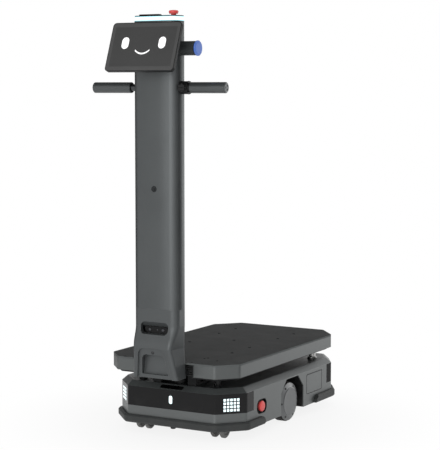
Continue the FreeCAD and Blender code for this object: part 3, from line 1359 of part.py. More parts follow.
def flap_pin():
    return along_flap(FLAP_PIN_RADIUS, FLAP_LENGTH / 2 + FLAP_PIN_SEAT)


def service_flap():
    """Flush door over the charge port: rolled top edge on the pin, finger notch below."""
    face = CHASSIS_HALF_WIDTH
    back = face - FLAP_THICKNESS
    axis = flap_axis()
    plate = side_prism(flap_opening(0.0), back, face, FLAP_RADIUS)
    above_axis = box(back, face, axis.y - FLAP_LENGTH, axis.y + FLAP_LENGTH, axis.z, axis.z + FLAP_THICKNESS)
    barrel = along_flap(FLAP_THICKNESS / 2, FLAP_LENGTH / 2 - FLAP_RADIUS)
    bore = along_flap(FLAP_PIN_RADIUS + RUNNING_CLEARANCE, FLAP_LENGTH)
    notch_centre = Vector(back, FLAP_CENTRE_Y, FLAP_CENTRE_Z - FLAP_HEIGHT / 2)
    finger_notch = cylinder(FLAP_NOTCH_RADIUS, notch_centre, Vector(1, 0, 0), FLAP_THICKNESS)
    return plate.cut(above_axis).fuse(barrel).cut([bore, finger_notch]).removeSplitter()


def charge_port():
    """Open-fronted box behind the flap with a round two-pin socket."""
    x_axis = Vector(1, 0, 0)
    front_x = CHASSIS_HALF_WIDTH - SHELL_WALL
    floor_x = front_x - PORT_DEPTH + PORT_WALL
    outer_opening = flap_opening(FLAP_GAP + PORT_WALL)
    outer = side_prism(outer_opening, floor_x - PORT_WALL, front_x, FLAP_RADIUS + PORT_WALL)
    hollow = flap_hole(floor_x, front_x)
    floor = Vector(floor_x, FLAP_CENTRE_Y, FLAP_CENTRE_Z)
    socket = cylinder(SOCKET_RADIUS, floor, x_axis, SOCKET_LENGTH)
    well = cylinder(SOCKET_RADIUS - SOCKET_WALL, floor + x_axis * SOCKET_FLOOR, x_axis, SOCKET_LENGTH)
    pins = [cylinder(SOCKET_PIN_RADIUS, floor + Vector(0, side * SOCKET_PIN_SPACING / 2, 0), x_axis,
                     SOCKET_LENGTH - SOCKET_FLOOR) for side in (-1, 1)]
    return outer.cut(hollow).fuse(socket).cut(well).fuse(pins).removeSplitter()


# ---- all pieces ----
def all_parts():
    parts = {
        "chassis_shell": chassis_shell(),
        "base_frame": base_frame(),
        "top_cover": top_cover(),
        "front_light_cover": front_light_cover(),
        "front_leds": front_leds(),
        "front_bevel_cover": front_bevel_cover(),
        "sensor_windows": sensor_windows(),
        "front_bumper": front_bumper(),
        "rear_bumper": rear_bumper(),
        "wheel_liners": both_sides(wheel_liner()),
        "drive_motors": both_sides(drive_motor()),
        "battery_pack": battery_pack(),
        "control_box": control_box(),
        "lidar_scanner": lidar_scanner(),
        "caster_plates": caster_plates(),
        "deck_posts": deck_posts(),
        "deck_underplate": deck_underplate(),
        "deck_skirt": deck_skirt(),
        "deck_plate": deck_plate(),
        "notch_grilles": both_sides(notch_grille()),
        "mast_foot_bracket": mast_foot_bracket(),
        "foot_shroud": foot_shroud(),
        "depth_camera": depth_camera(),
        "floor_camera": floor_camera(),
        "mast_spine": mast_spine(),
        "mast_column": mast_column(),
        "mast_rear_cover": mast_rear_cover(),
        "cover_lock": cover_lock(),
        "handle_tube": handle_tube(),
        "handle_grip_left": handle_grip_left(),
        "handle_grip_right": handle_grip_right(),
        "handle_clamp": handle_clamp(),
        "light_ring": light_ring(),
        "top_cap": top_cap(),
        "antenna_cover": antenna_cover(),
        "top_stop_base": top_stop_base(),
        "top_stop_button": top_stop_button(),
        "stop_housings": both_sides(stop_housing()),
        "stop_button_left": side_stop_button(),
        "stop_button_right": mirrored(side_stop_button()),
        "call_button_housing": call_button_housing(),
        "call_button": call_button(),
        "display_bracket": display_bracket(),
        "display_housing": display_housing(),
        "display_glass": display_glass(),
        "charge_port": charge_port(),
        "service_flap": service_flap(),
        "flap_pin": flap_pin(),
        "drive_hub_left": drive_hub(),
        "drive_hub_right": mirrored(drive_hub()),
        "drive_tyre_left": drive_tyre(),
        "drive_tyre_right": mirrored(drive_tyre()),
    }
    for name, x, y in caster_places():
        parts["caster_fork_" + name] = caster_fork(x, y)
        parts["caster_wheels_" + name] = caster_wheels(x, y)
    return parts


def origin_shift():
    """Move from the drive axle to the middle of the robot's length, display to rear bumper."""
    lean = DISPLAY_HEIGHT / 2 * math.sin(math.radians(DISPLAY_TILT))
    front_most = DISPLAY_CENTRE_Y - lean
    rear_most = CHASSIS_REAR + BUMPER_REACH
    return Vector(0, -(front_most + rear_most) / 2, 0)


os.makedirs("parts", exist_ok=True)
shift = origin_shift()
for node, shape in all_parts().items():
    placed = shape.copy()
    placed.translate(shift)
    placed.exportStep(os.path.join("parts", node + ".step"))
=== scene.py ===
import json
import math

import bmesh
import bpy
from mathutils import Matrix, Vector


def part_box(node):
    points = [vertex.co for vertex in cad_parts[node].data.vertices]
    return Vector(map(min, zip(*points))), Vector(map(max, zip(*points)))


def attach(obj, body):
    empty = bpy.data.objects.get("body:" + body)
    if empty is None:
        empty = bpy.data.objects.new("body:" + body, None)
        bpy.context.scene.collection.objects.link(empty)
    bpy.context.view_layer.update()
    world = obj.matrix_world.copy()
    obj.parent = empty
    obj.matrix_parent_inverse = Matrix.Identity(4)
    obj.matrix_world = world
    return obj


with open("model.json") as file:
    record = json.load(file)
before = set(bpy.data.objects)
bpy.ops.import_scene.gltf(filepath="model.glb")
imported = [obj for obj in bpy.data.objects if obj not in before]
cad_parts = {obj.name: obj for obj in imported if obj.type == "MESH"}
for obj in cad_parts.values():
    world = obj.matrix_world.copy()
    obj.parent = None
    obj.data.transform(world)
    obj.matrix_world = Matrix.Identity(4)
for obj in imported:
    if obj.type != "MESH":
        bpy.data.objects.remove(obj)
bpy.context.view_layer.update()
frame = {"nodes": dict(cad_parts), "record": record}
nodes = frame["nodes"]


# ---- base frame and casters ----
# A flat steel plate with ribs carries everything. Four zinc plated swivel casters with twin
# wheels are bolted under its corners, each with a pressed fork and a through axle.
caster_plate_size = 0.054
plate_bolt_inset = 0.006
plate_bolt_radius = 0.0042
plate_bolt_height = 0.0022
axle_bolt_radius = 0.0048
axle_bolt_height = 0.0020
axle_bolt_recess = 0.0022
head_rounding = 0.35
rounding_shoulder = 0.3


def srgb(red, green, blue):
    """A colour given as it looks on a screen, 0 to 255, as the linear colour of shaders."""
    return tuple(((c / 255 + 0.055) / 1.055) ** 2.4 for c in (red, green, blue)) + (1.0,)


def feed(tree, node, inputs):
    """Gives a node's sockets, by name or number, their values or links."""
    for place, value in inputs.items():
        if isinstance(value, bpy.types.NodeSocket):
            tree.links.new(value, node.inputs[place])
        else:
            node.inputs[place].default_value = value


def add(tree, kind, inputs=None, **settings):
    """A new shader node with those settings and inputs."""
    node = tree.nodes.new("ShaderNode" + kind)
    for name, value in settings.items():
        setattr(node, name, value)
    feed(tree, node, inputs or {})
    return node


def calc(tree, operation, *values, **settings):
    """The result of one sum on values or links."""
    return add(tree, "Math", dict(enumerate(values)), operation=operation, **settings).outputs[0]


def ramp(tree, value, start=0.0, end=1.0, low=0.0, high=1.0, **settings):
    """A value that goes from low to high while the given one goes from start to end."""
    return add(tree, "MapRange", {"Value": value, "From Min": start, "From Max": end,
                                  "To Min": low, "To Max": high}, **settings).outputs[0]


def blend(tree, share, first, second):
    """The colour at that share of the way from the first to the second."""
    return add(tree, "Mix", {0: share, 6: first, 7: second}, data_type="RGBA").outputs[2]


def clouds(tree, place, scale, detail, distortion=0.0):
    """Soft irregular patches, 0 to 1."""
    return add(tree, "TexNoise", {"Vector": place, "Scale": scale, "Detail": detail,
                                  "Distortion": distortion}).outputs["Fac"]


def axes(tree, vector):
    """The three parts of a vector, by name."""
    return add(tree, "SeparateXYZ", {0: vector}).outputs


def object_place(tree):
    """The place on the piece, in metres."""
    return add(tree, "TexCoord").outputs["Object"]


def new_group(name, takes, gives):
    """An empty node group with the sockets named in takes and gives."""
    tree = bpy.data.node_groups.new(name, "ShaderNodeTree")
    for socket, kind in takes:
        tree.interface.new_socket(socket, in_out="INPUT", socket_type="NodeSocket" + kind)
    for socket, kind in gives:
        tree.interface.new_socket(socket, in_out="OUTPUT", socket_type="NodeSocket" + kind)
    return tree, tree.nodes.new("NodeGroupInput").outputs, tree.nodes.new("NodeGroupOutput")


def grain_group():
    """Fine texture of a coated or moulded surface, and slow changes of tone over it."""
    tree, given, out = new_group("surface grain", [("Place", "Vector"), ("Fineness", "Float")],
                                 [("Height", "Float"), ("Tone", "Float")])
    cells = add(tree, "TexVoronoi", {"Vector": given["Place"], "Scale": given["Fineness"]},
                feature="SMOOTH_F1")
    fine = clouds(tree, given["Place"], given["Fineness"], detail=3.0)
    broad = clouds(tree, given["Place"], scale=7.0, detail=6.0)
    both = add(tree, "Mix", {"Factor": 0.35, 2: broad, 3: fine}).outputs[0]
    feed(tree, out, {"Height": calc(tree, "ADD", cells.outputs["Distance"], fine),
                     "Tone": ramp(tree, both, start=0.3, end=0.7)})
    return tree


def edge_group():
    """Rounds the look of sharp edges, and finds where they rub bare."""
    tree, given, out = new_group("rubbed edges", [("Place", "Vector")],
                                 [("Normal", "Vector"), ("Rub", "Float")])
    soft = add(tree, "Bevel", {"Radius": 0.0012}, samples=6).outputs[0]
    face = add(tree, "NewGeometry").outputs["Normal"]
    turn = add(tree, "VectorMath", {0: soft, 1: face}, operation="DOT_PRODUCT").outputs["Value"]
    bare = ramp(tree, turn, start=0.995, end=0.86)
    patches = clouds(tree, given["Place"], scale=60.0, detail=5.0)
    ragged = ramp(tree, patches, start=0.42, end=0.62)
    feed(tree, out, {"Normal": soft, "Rub": calc(tree, "MULTIPLY", bare, ragged)})
    return tree


def dust_group():
    """Fine dust: thickest near the floor and on faces that look up."""
    tree, given, out = new_group("settled dust", [("Place", "Vector")], [("Dust", "Float")])
    upward = axes(tree, add(tree, "NewGeometry").outputs["Normal"])["Z"]
    low = ramp(tree, axes(tree, given["Place"])["Z"], start=0.14, end=0.0)
    lying = ramp(tree, upward, start=0.4, end=1.0, high=0.5)
    drifts = clouds(tree, given["Place"], scale=25.0, detail=8.0)
    patchy = ramp(tree, drifts, start=0.45, end=0.75)
    feed(tree, out, {"Dust": calc(tree, "MULTIPLY", calc(tree, "MAXIMUM", low, lying), patchy)})
    return tree


grain = grain_group()
edges = edge_group()
settled = dust_group()
dust_colour = srgb(122, 120, 116)


def blank(name):
    """A new material, its node tree and its Principled shader."""
    material = bpy.data.materials.new(name)
    material.use_nodes = True
    return material, material.node_tree, material.node_tree.nodes["Principled BSDF"]


def grained(tree, place, fineness):
    """The grain and the rubbed edges, placed in a material: the outputs of each."""
    texture = add(tree, "Group", {"Place": place, "Fineness": fineness}, node_tree=grain)
    edge = add(tree, "Group", {"Place": place}, node_tree=edges)
    return texture.outputs, edge.outputs


def relief(tree, texture, edge, depth):
    """The grain's relief on top of the softened edges, as a normal."""
    return add(tree, "Bump", {"Strength": depth, "Distance": 0.0003,
                              "Height": texture["Height"], "Normal": edge["Normal"]}).outputs[0]


def surface(name, dark, light, rough, fineness, depth, bare=None, metallic=0.0, dust=0.1,
            **more):
    """A solid surface: tone between dark and light, rough = (least, most), grain of that
    fineness and depth, edges rubbed to the bare colour, and a little dust."""
    material, tree, shader = blank(name)
    place = object_place(tree)
    texture, edge = grained(tree, place, fineness)
    dusty = add(tree, "Group", {"Place": place}, node_tree=settled)
    film = calc(tree, "MULTIPLY", dusty.outputs["Dust"], dust)
    rubbed = blend(tree, edge["Rub"], blend(tree, texture["Tone"], dark, light), bare or light)
    sheen = ramp(tree, texture["Tone"], low=rough[0], high=rough[1])
    feed(tree, shader, {"Base Color": blend(tree, film, rubbed, dust_colour),
                        "Roughness": calc(tree, "ADD", sheen, film, use_clamp=True),
                        "Normal": relief(tree, texture, edge, depth), "Metallic": metallic})
    feed(tree, shader, {socket.replace("_", " "): value for socket, value in more.items()})
    return material


def give(material, *names):
    """Puts a material on every slot of those CAD nodes."""
    for name in names:
        for place in nodes[name].material_slots:
            place.material = material


def piece(name, mesh, material, body):
    """A finished mesh as a piece of the robot that rides on a body."""
    made = bpy.data.meshes.new(name)
    mesh.normal_update()
    mesh.to_mesh(made)
    mesh.free()
    thing = bpy.data.objects.new(name, made)
    bpy.context.scene.collection.objects.link(thing)
    made.materials.append(material)
    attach(thing, body)


def bridge(mesh, rings):
    """Faces from each ring of corners to the next."""
    for low, high in zip(rings, rings[1:]):
        for step in range(len(low)):
            after = (step + 1) % len(low)
            mesh.faces.new((low[step], low[after], high[after], high[step]))


def standing(place, axis):
    """The move that puts a shape made along z on place, along axis."""
    turn = Vector((0, 0, 1)).rotation_difference(Vector(axis)).to_matrix().to_4x4()
    return Matrix.Translation(place) @ turn


def turned(mesh, profile, place, axis, count=24):
    """A shape turned from (radius, height) points and standing on place along axis."""
    put = standing(place, axis)
    angles = [2 * math.pi * step / count for step in range(count)]
    rings = [[mesh.verts.new(put @ Vector((radius * math.cos(a), radius * math.sin(a), height)))
              for a in angles] for radius, height in profile]
    bridge(mesh, rings)
    return rings


def screw(mesh, place, axis, radius, height, socket=0.5, sink=0.6):
    """A round screw head standing on place along axis, with a rounded edge. Its hexagon
    socket has that share of its radius and is sunk by that share of its height."""
    edge = height * head_rounding
    count = 24
    rings = turned(mesh, ((radius, 0), (radius, height - edge),
                          (radius - edge * rounding_shoulder, height - edge * rounding_shoulder),
                          (radius - edge, height)), place, axis, count)
    put = standing(place, axis)
    for level in (height, height * (1 - sink)):
        hexagon = []
        for step in range(count):
            angle = 2 * math.pi * step / count
            off = (angle + math.pi / 6) % (math.pi / 3) - math.pi / 6
            reach = radius * socket * math.cos(math.pi / 6) / math.cos(off)
            corner = Vector((reach * math.cos(angle), reach * math.sin(angle), level))
            hexagon.append(mesh.verts.new(put @ corner))
        rings.append(hexagon)
    bridge(mesh, rings[3:])
    mesh.faces.new(rings[-1])
    mesh.faces.new(rings[0][::-1])


bright_zinc = surface("bright_zinc", srgb(150, 152, 150), srgb(186, 188, 186), rough=(0.28, 0.42),
                      fineness=160.0, depth=0.08, metallic=1.0, dust=0.25)
black_screw = surface("blackened_steel", srgb(24, 25, 26), srgb(38, 39, 40), rough=(0.35, 0.5),
                      fineness=900.0, depth=0.1, bare=srgb(110, 110, 108), metallic=0.6)
give(surface("coated_steel_plate", srgb(26, 27, 27), srgb(34, 35, 35), rough=(0.45, 0.6),
             fineness=500.0, depth=0.2, bare=srgb(96, 96, 94), Specular_IOR_Level=0.2),
     "base_frame")
give(bright_zinc, "caster_plates")
give(surface("caster_fork_black", srgb(24, 25, 26), srgb(38, 39, 40), rough=(0.32, 0.5),
             fineness=600.0, depth=0.15, bare=srgb(100, 100, 98), dust=0.4,
             Specular_IOR_Level=0.25),
     "caster_fork_front_left", "caster_fork_front_right", "caster_fork_rear_left",
     "caster_fork_rear_right")
give(surface("caster_wheel_grey", srgb(122, 122, 121), srgb(142, 142, 140), rough=(0.4, 0.6),
             fineness=500.0, depth=0.2, bare=srgb(70, 70, 69), dust=0.6),
     "caster_wheels_front_left", "caster_wheels_front_right", "caster_wheels_rear_left",
     "caster_wheels_rear_right")

plate_bolts = bmesh.new()
plate_low, plate_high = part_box("caster_plates")
for end in ("front", "rear"):
    for side in ("left", "right"):
        low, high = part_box(f"caster_wheels_{end}_{side}")
        middle = (low + high) / 2
        axle_bolt = bmesh.new()
        for sign, outer in ((-1, low.x), (1, high.x)):
            screw(axle_bolt, (outer - sign * axle_bolt_recess, middle.y, middle.z), (sign, 0, 0),
                  axle_bolt_radius, axle_bolt_height)
        piece(f"axle_bolt_{end}_{side}", axle_bolt, bright_zinc, f"caster_wheels_{end}_{side}")
        near_x = plate_high.x - caster_plate_size if side == "left" else plate_low.x
        near_y = plate_low.y if end == "front" else plate_high.y - caster_plate_size
        for x in (near_x + plate_bolt_inset, near_x + caster_plate_size - plate_bolt_inset):
            for y in (near_y + plate_bolt_inset, near_y + caster_plate_size - plate_bolt_inset):
                screw(plate_bolts, (x, y, plate_low.z), (0, 0, -1), plate_bolt_radius,
                      plate_bolt_height)
piece("caster_plate_bolts", plate_bolts, bright_zinc, "chassis")


# ---- drive units ----
# Each side has a geared motor bolted to the frame, a wheel with a die cast hub and a
# moulded rubber tyre, and a cover disc held by six small screws near its rim.
cover_screw_count = 6
cover_screw_ring = 0.0548
cover_screw_radius = 0.0034
cover_screw_height = 0.0012
cover_screw_setback = 0.0040
cover_cone = math.radians(16.2)

give(surface("motor_body", srgb(70, 71, 72), srgb(92, 93, 94), rough=(0.35, 0.5), fineness=300.0,
             depth=0.1, metallic=0.9), "drive_motors")
give(surface("liner_plastic", srgb(17, 18, 19), srgb(26, 27, 28), rough=(0.5, 0.7), fineness=500.0,
             depth=0.3, dust=0.3, Specular_IOR_Level=0.15), "wheel_liners")
give(surface("hub_cover_grey", srgb(96, 98, 99), srgb(106, 108, 109), rough=(0.34, 0.44),
             fineness=900.0, depth=0.12, bare=srgb(140, 141, 141), metallic=0.35, dust=0.15),
     "drive_hub_left", "drive_hub_right")
give(surface("tyre_rubber", srgb(22, 22, 23), srgb(34, 34, 34), rough=(0.6, 0.85), fineness=420.0,
             depth=0.5, bare=srgb(50, 49, 48), dust=0.6, Specular_IOR_Level=0.3),
     "drive_tyre_left", "drive_tyre_right")

for side, sign in (("left", 1), ("right", -1)):
    low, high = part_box(f"drive_hub_{side}")
    tyre_low, tyre_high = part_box(f"drive_tyre_{side}")
    axle = (tyre_low + tyre_high) / 2
    face = high.x if sign > 0 else low.x
    cover_screws = bmesh.new()
    for step in range(cover_screw_count):
        angle = 2 * math.pi * step / cover_screw_count
        out = Vector((0, math.cos(angle), math.sin(angle)))
        place = Vector((face - sign * cover_screw_setback, axle.y, axle.z))
        lean = Vector((sign * math.cos(cover_cone), 0, 0)) + out * math.sin(cover_cone)
        screw(cover_screws, place + out * cover_screw_ring, lean, cover_screw_radius,
              cover_screw_height, socket=0.55, sink=0.7)
    piece(f"hub_cover_screws_{side}", cover_screws, black_screw, f"drive_wheel_{side}")


# ---- battery and control box ----
# Both lie on the frame plate under the top cover: a sleeved battery pack behind and an
# extruded aluminium box with cooling fins in front.
give(surface("battery_sleeve", srgb(26, 32, 42), srgb(36, 43, 54), rough=(0.3, 0.4),
             fineness=250.0, depth=0.1), "battery_pack")
give(surface("extruded_box", srgb(150, 152, 154), srgb(172, 174, 176), rough=(0.35, 0.5),
             fineness=200.0, depth=0.1, metallic=1.0), "control_box")


# ---- body shell, light cover and bumpers ----
# The painted body shell stands round the frame. A gloss black cover wraps the front corners
# over the lamps, with a dark sloping cover above it and rubber bumpers round the foot. A
# steel stud with a lock nut hangs under the front, for tying the robot down.
stud_x = -0.002
stud_inset = 0.032
stud_radius = 0.0062
stud_length = 0.046
nut_radius = 0.0088
nut_height = 0.008
nut_top = 0.031
root_sink = 0.001
lamp_cool = (0.62, 0.9, 0.97, 1)
lamp_warm = (0.95, 1.0, 1.0, 1)

give(surface("shell_paint", srgb(94, 97, 97), srgb(102, 105, 105), rough=(0.36, 0.44),
             fineness=1100.0, depth=0.16, bare=srgb(128, 130, 130), metallic=0.55, dust=0.06),
     "chassis_shell", "service_flap")
give(surface("top_cover_black", srgb(42, 44, 45), srgb(50, 52, 53), rough=(0.3, 0.42),
             fineness=700.0, depth=0.15, bare=srgb(60, 60, 60), Specular_IOR_Level=0.15),
     "top_cover")
give(surface("light_cover_gloss", srgb(19, 19, 20), srgb(24, 24, 25), rough=(0.16, 0.22),
             fineness=300.0, depth=0.03, bare=srgb(60, 61, 62), Specular_IOR_Level=0.18),
     "front_light_cover")
give(surface("sloping_cover_dark", srgb(62, 65, 65), srgb(68, 71, 71), rough=(0.34, 0.44),
             fineness=900.0, depth=0.12, bare=srgb(64, 68, 68), Specular_IOR_Level=0.15),
     "front_bevel_cover")
give(surface("sensor_window", srgb(3, 3, 4), srgb(7, 7, 8), rough=(0.12, 0.18), fineness=200.0,
             depth=0.02, Specular_IOR_Level=0.05), "sensor_windows")
give(surface("bumper_rubber", srgb(49, 51, 51), srgb(57, 59, 59), rough=(0.5, 0.66),
             fineness=800.0, depth=0.3, bare=srgb(78, 80, 80), dust=0.12, Specular_IOR_Level=0.3),
     "front_bumper", "rear_bumper")

lamp_white, tree, shader = blank("lamp_white")
flicker = add(tree, "Group", {"Place": object_place(tree), "Fineness": 300.0}, node_tree=grain)
glow = blend(tree, flicker.outputs["Tone"], lamp_cool, lamp_warm)
feed(tree, shader, {"Emission Color": glow, "Emission Strength": 1.0,
                    "Base Color": (0.6, 0.7, 0.7, 1)})
give(lamp_white, "front_leds")

stud = bmesh.new()
stud_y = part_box("front_bumper")[0].y + stud_inset
stud_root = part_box("base_frame")[0].z + root_sink
screw(stud, (stud_x, stud_y, stud_root), (0, 0, -1), stud_radius, stud_length, socket=0.4,
      sink=0.05)
screw(stud, (stud_x, stud_y, nut_top), (0, 0, -1), nut_radius, nut_height, socket=0.4, sink=0.3)
piece("tie_down_stud", stud, black_screw, "chassis")


# ---- stop buttons and charge port ----
# A red mushroom button sits in a black cup on each side. The charge port has its own cup
# behind a painted flap that swings up on a steel pin and has a thin rubber seal at its edge.
seal_width = 0.0022
seal_corner = 0.0075
seal_proud = 0.00015
seal_root = 0.0004
seal_corner_steps = 6

give(surface("stop_button_red", srgb(222, 76, 74), srgb(234, 92, 90), rough=(0.3, 0.4),
             fineness=600.0, depth=0.05, bare=srgb(226, 120, 118), dust=0.02,
             Specular_IOR_Level=0.35),
     "stop_button_left", "stop_button_right", "top_stop_button")
cup_black = surface("cup_black", srgb(12, 12, 13), srgb(19, 19, 20), rough=(0.4, 0.55),
                    fineness=600.0, depth=0.2, bare=srgb(50, 50, 50), Specular_IOR_Level=0.15)
give(cup_black, "stop_housings", "charge_port", "top_stop_base")
give(bright_zinc, "flap_pin")

flap_low, flap_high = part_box("service_flap")
flap_middle = (flap_low + flap_high) / 2
corner_y = (flap_high.y - flap_low.y) / 2 - seal_corner
corner_z = (flap_high.z - flap_low.z) / 2 - seal_corner
seal = bmesh.new()
rings = []
for inset, rise in ((0.0, -seal_root), (0.0, seal_proud), (seal_width, seal_proud),
                    (seal_width, -seal_root)):
    ring = []
    for corner, (to_y, to_z) in enumerate(((1, 1), (-1, 1), (-1, -1), (1, -1))):
        for step in range(seal_corner_steps + 1):
            angle = math.pi / 2 * (corner + step / seal_corner_steps)
            radius = seal_corner - inset
            y = flap_middle.y + to_y * corner_y + radius * math.cos(angle)
            z = flap_middle.z + to_z * corner_z + radius * math.sin(angle)
            ring.append(seal.verts.new((flap_high.x + rise, y, z)))
    rings.append(ring)
bridge(seal, rings + rings[:1])
piece("flap_seal", seal, cup_black, "service_flap")


# ---- load deck ----
# Four turned spacers carry a pressed deck. The front two are painted black, as painted shade under
# the deck, and the rear two are bright. The deck has an under plate, a folded skirt and a top
# plate whose upward faces are painted darker, as painted shade, with a grid of threaded bushings.
# A distance scanner turns in the gap below.
painted_shade_depth = 0.1
spacer_half = 0.014
spacer_lift = 0.0002
collar_profile = ((0.0165, 0.0), (0.0172, 0.0012), (0.0172, 0.0046), (0.0150, 0.0062),
                  (0.0134, 0.0066), (0.0128, 0.0080), (0.0128, 0.0235), (0.0146, 0.0244),
                  (0.0146, 0.0276), (0.0136, 0.0286))
skirt_dark = srgb(88, 91, 91)
skirt_light = srgb(95, 98, 98)
deck_screw_radius = 0.0034
deck_screw_height = 0.0009
deck_screw_root = 0.0004
deck_screw_places = ((0.090, 0.093), (0.145, 0.078), (0.095, 0.107), (0.087, 0.017),
                     (-0.156, 0.008))
bushing_profile = ((0.0050, -0.0004), (0.0050, 0.0002), (0.0046, 0.0006), (0.0034, 0.0006),
                   (0.0029, 0.0003), (0.0029, -0.002))

give(surface("scanner_body", srgb(16, 17, 18), srgb(24, 25, 26), rough=(0.2, 0.3), fineness=400.0,
             depth=0.05, Specular_IOR_Level=0.2), "lidar_scanner")
spacers_low, spacers_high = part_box("deck_posts")
# The front spacers are painted black, as painted shade under the deck; the rear ones are bright
# steel.
spacer_painted_shade, tree, shader = blank("spacer_painted_shade")
place = object_place(tree)
texture, edge = grained(tree, place, fineness=220.0)
painted_shade_end = spacers_low.y + painted_shade_depth
bright = ramp(tree, axes(tree, place)["Y"], start=painted_shade_end, end=painted_shade_end + 0.001)
steel = blend(tree, texture["Tone"], srgb(176, 176, 175), srgb(204, 204, 203))
painted_shade_black = blend(tree, texture["Tone"], srgb(22, 23, 24), srgb(34, 35, 36))
feed(tree, shader, {"Base Color": blend(tree, bright, painted_shade_black, steel), "Metallic": bright,
                    "Roughness": ramp(tree, texture["Tone"], low=0.16, high=0.28),
                    "Normal": relief(tree, texture, edge, depth=0.06),
                    "Specular IOR Level": 0.2})
give(spacer_painted_shade, "deck_posts")

spacer_steel = surface("spacer_steel", srgb(176, 176, 175), srgb(214, 214, 213), rough=(0.2, 0.32),
                       fineness=220.0, depth=0.04, metallic=0.85, dust=0.02)
for side, sign in (("right", -1), ("left", 1)):
    collar = bmesh.new()
    spot = (sign * (spacers_high.x - spacer_half), spacers_high.y - spacer_half,
            spacers_low.z + spacer_lift)
    rings = turned(collar, collar_profile, spot, (0, 0, 1), count=30)
    collar.faces.new(rings[0][::-1])
    collar.faces.new(rings[-1])
    piece("rear_spacer_" + side, collar, spacer_steel, "chassis")

give(surface("deck_paint", skirt_dark, skirt_light, rough=(0.36, 0.44), fineness=1000.0,
             depth=0.14, bare=srgb(130, 132, 132), metallic=0.55, dust=0.04), "deck_skirt")
give(surface("underplate_black", srgb(26, 27, 28), srgb(36, 37, 38), rough=(0.5, 0.65),
             fineness=700.0, depth=0.2, bare=srgb(70, 70, 69), Specular_IOR_Level=0.15),
     "deck_underplate")
give(surface("grille_black", srgb(20, 21, 21), srgb(32, 33, 33), rough=(0.4, 0.55), fineness=600.0,
             depth=0.2, bare=srgb(84, 86, 86), Specular_IOR_Level=0.3), "notch_grilles")

# The deck plate's upward faces are painted darker than its rim: painted shade on the top.
deck_plate_painted_shade, tree, shader = blank("deck_top_painted_shade")
place = object_place(tree)
texture, edge = grained(tree, place, fineness=900.0)
upward = axes(tree, add(tree, "TexCoord").outputs["Normal"])["Z"]
painted_shade_top = blend(tree, texture["Tone"], srgb(49, 50, 50), srgb(57, 58, 58))
rim_paint = blend(tree, texture["Tone"], skirt_dark, skirt_light)
scuffs = clouds(tree, place, scale=14.0, detail=9.0, distortion=0.6)
painted_shade_on_top = ramp(tree, upward, start=0.6, end=0.8)
feed(tree, shader, {"Base Color": blend(tree, painted_shade_on_top, rim_paint, painted_shade_top),
                    "Roughness": ramp(tree, scuffs, low=0.55, high=0.72),
                    "Normal": relief(tree, texture, edge, depth=0.2),
                    "Specular IOR Level": 0.04})
give(deck_plate_painted_shade, "deck_plate")

# Near black, nearly matt and free of dust: painted shade of the holes, on the deck screws and the
# threaded bushings.
hole_painted_shade = surface("hole_painted_shade", srgb(4, 4, 4), srgb(9, 9, 9), rough=(0.7, 0.85), fineness=600.0,
                     depth=0.1, bare=srgb(14, 14, 14), dust=0.0, Specular_IOR_Level=0.02)
deck_low, deck_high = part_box("deck_plate")
deck_screws = bmesh.new()
for x, from_front in deck_screw_places:
    screw(deck_screws, (x, deck_low.y + from_front, deck_high.z - deck_screw_root), (0, 0, 1),
          deck_screw_radius, deck_screw_height)
piece("deck_screws", deck_screws, hole_painted_shade, "chassis")

bushings = bmesh.new()
for mount in frame["record"]["mounts"]:
    if mount["kind"] == "flat_face":
        continue
    middle_x, middle_y = mount["pos_m"][:2]
    across = mount["dims"].get("spacing_x_mm", 0) / 1000 / 2
    along = mount["dims"].get("spacing_y_mm", 0) / 1000 / 2
    for x, y in sorted({(side * across, end * along) for side in (-1, 1) for end in (-1, 1)}):
        turned(bushings, bushing_profile, (middle_x + x, middle_y + y, deck_high.z), (0, 0, 1))
piece("deck_bushings", bushings, hole_painted_shade, "chassis")


# ---- mast foot and mast ----
# A cast bracket bolts to the frame and holds a steel spine. A moulded shroud covers the
# bracket, and an extruded column with a flat rear cover slides over the spine above it. A
# depth camera and a small floor camera look out of the shroud, each lens in a black rim.
lens_profile = ((1.0, 0.0), (1.0, 0.0005), (0.9, 0.0008), (0.72, 0.0008), (0.66, 0.0004))
dome_profile = ((0.66, 0.0003), (0.5, 0.00055), (0.3, 0.0007), (0.1, 0.00078))
stereo_reach = 0.024
stereo_lens = 0.0068
colour_lens = 0.0036
colour_lens_x = 0.004
floor_lens = 0.0052
floor_lens_drop = 0.004
floor_lens_proud = 0.0009
crown_reach = 0.058
crown_lean = 0.2
side_roll = -0.3
roll_start = 0.024
roll_end = 0.042

give(surface("bracket_casting", srgb(20, 21, 22), srgb(30, 31, 32), rough=(0.5, 0.65),
             fineness=260.0, depth=0.3, bare=srgb(80, 80, 79), Specular_IOR_Level=0.15),
     "mast_foot_bracket")
give(surface("spine_steel", srgb(112, 114, 115), srgb(140, 142, 143), rough=(0.3, 0.45),
             fineness=200.0, depth=0.1, metallic=1.0), "mast_spine")
give(surface("shroud_grey", srgb(76, 79, 80), srgb(84, 87, 88), rough=(0.4, 0.48), fineness=1200.0,
             depth=0.2, bare=srgb(118, 120, 120), metallic=0.5, dust=0.03), "foot_shroud")
give(surface("camera_window", srgb(9, 9, 10), srgb(13, 13, 14), rough=(0.1, 0.16), fineness=200.0,
             depth=0.02, Specular_IOR_Level=0.2),
     "depth_camera", "floor_camera")
give(surface("lock_steel", srgb(40, 42, 43), srgb(62, 64, 65), rough=(0.3, 0.45), fineness=260.0,
             depth=0.2, bare=srgb(120, 121, 121), metallic=0.9), "cover_lock")
lens_glass = surface("lens_glass", srgb(10, 12, 20), srgb(16, 20, 34), rough=(0.05, 0.09),
                     fineness=200.0, depth=0.0, bare=srgb(16, 20, 34), dust=0.0,
                     Specular_IOR_Level=0.8)
lens_rim = surface("lens_rim", srgb(10, 10, 11), srgb(18, 18, 19), rough=(0.3, 0.4),
                   fineness=500.0, depth=0.08, bare=srgb(60, 60, 60), Specular_IOR_Level=0.2)

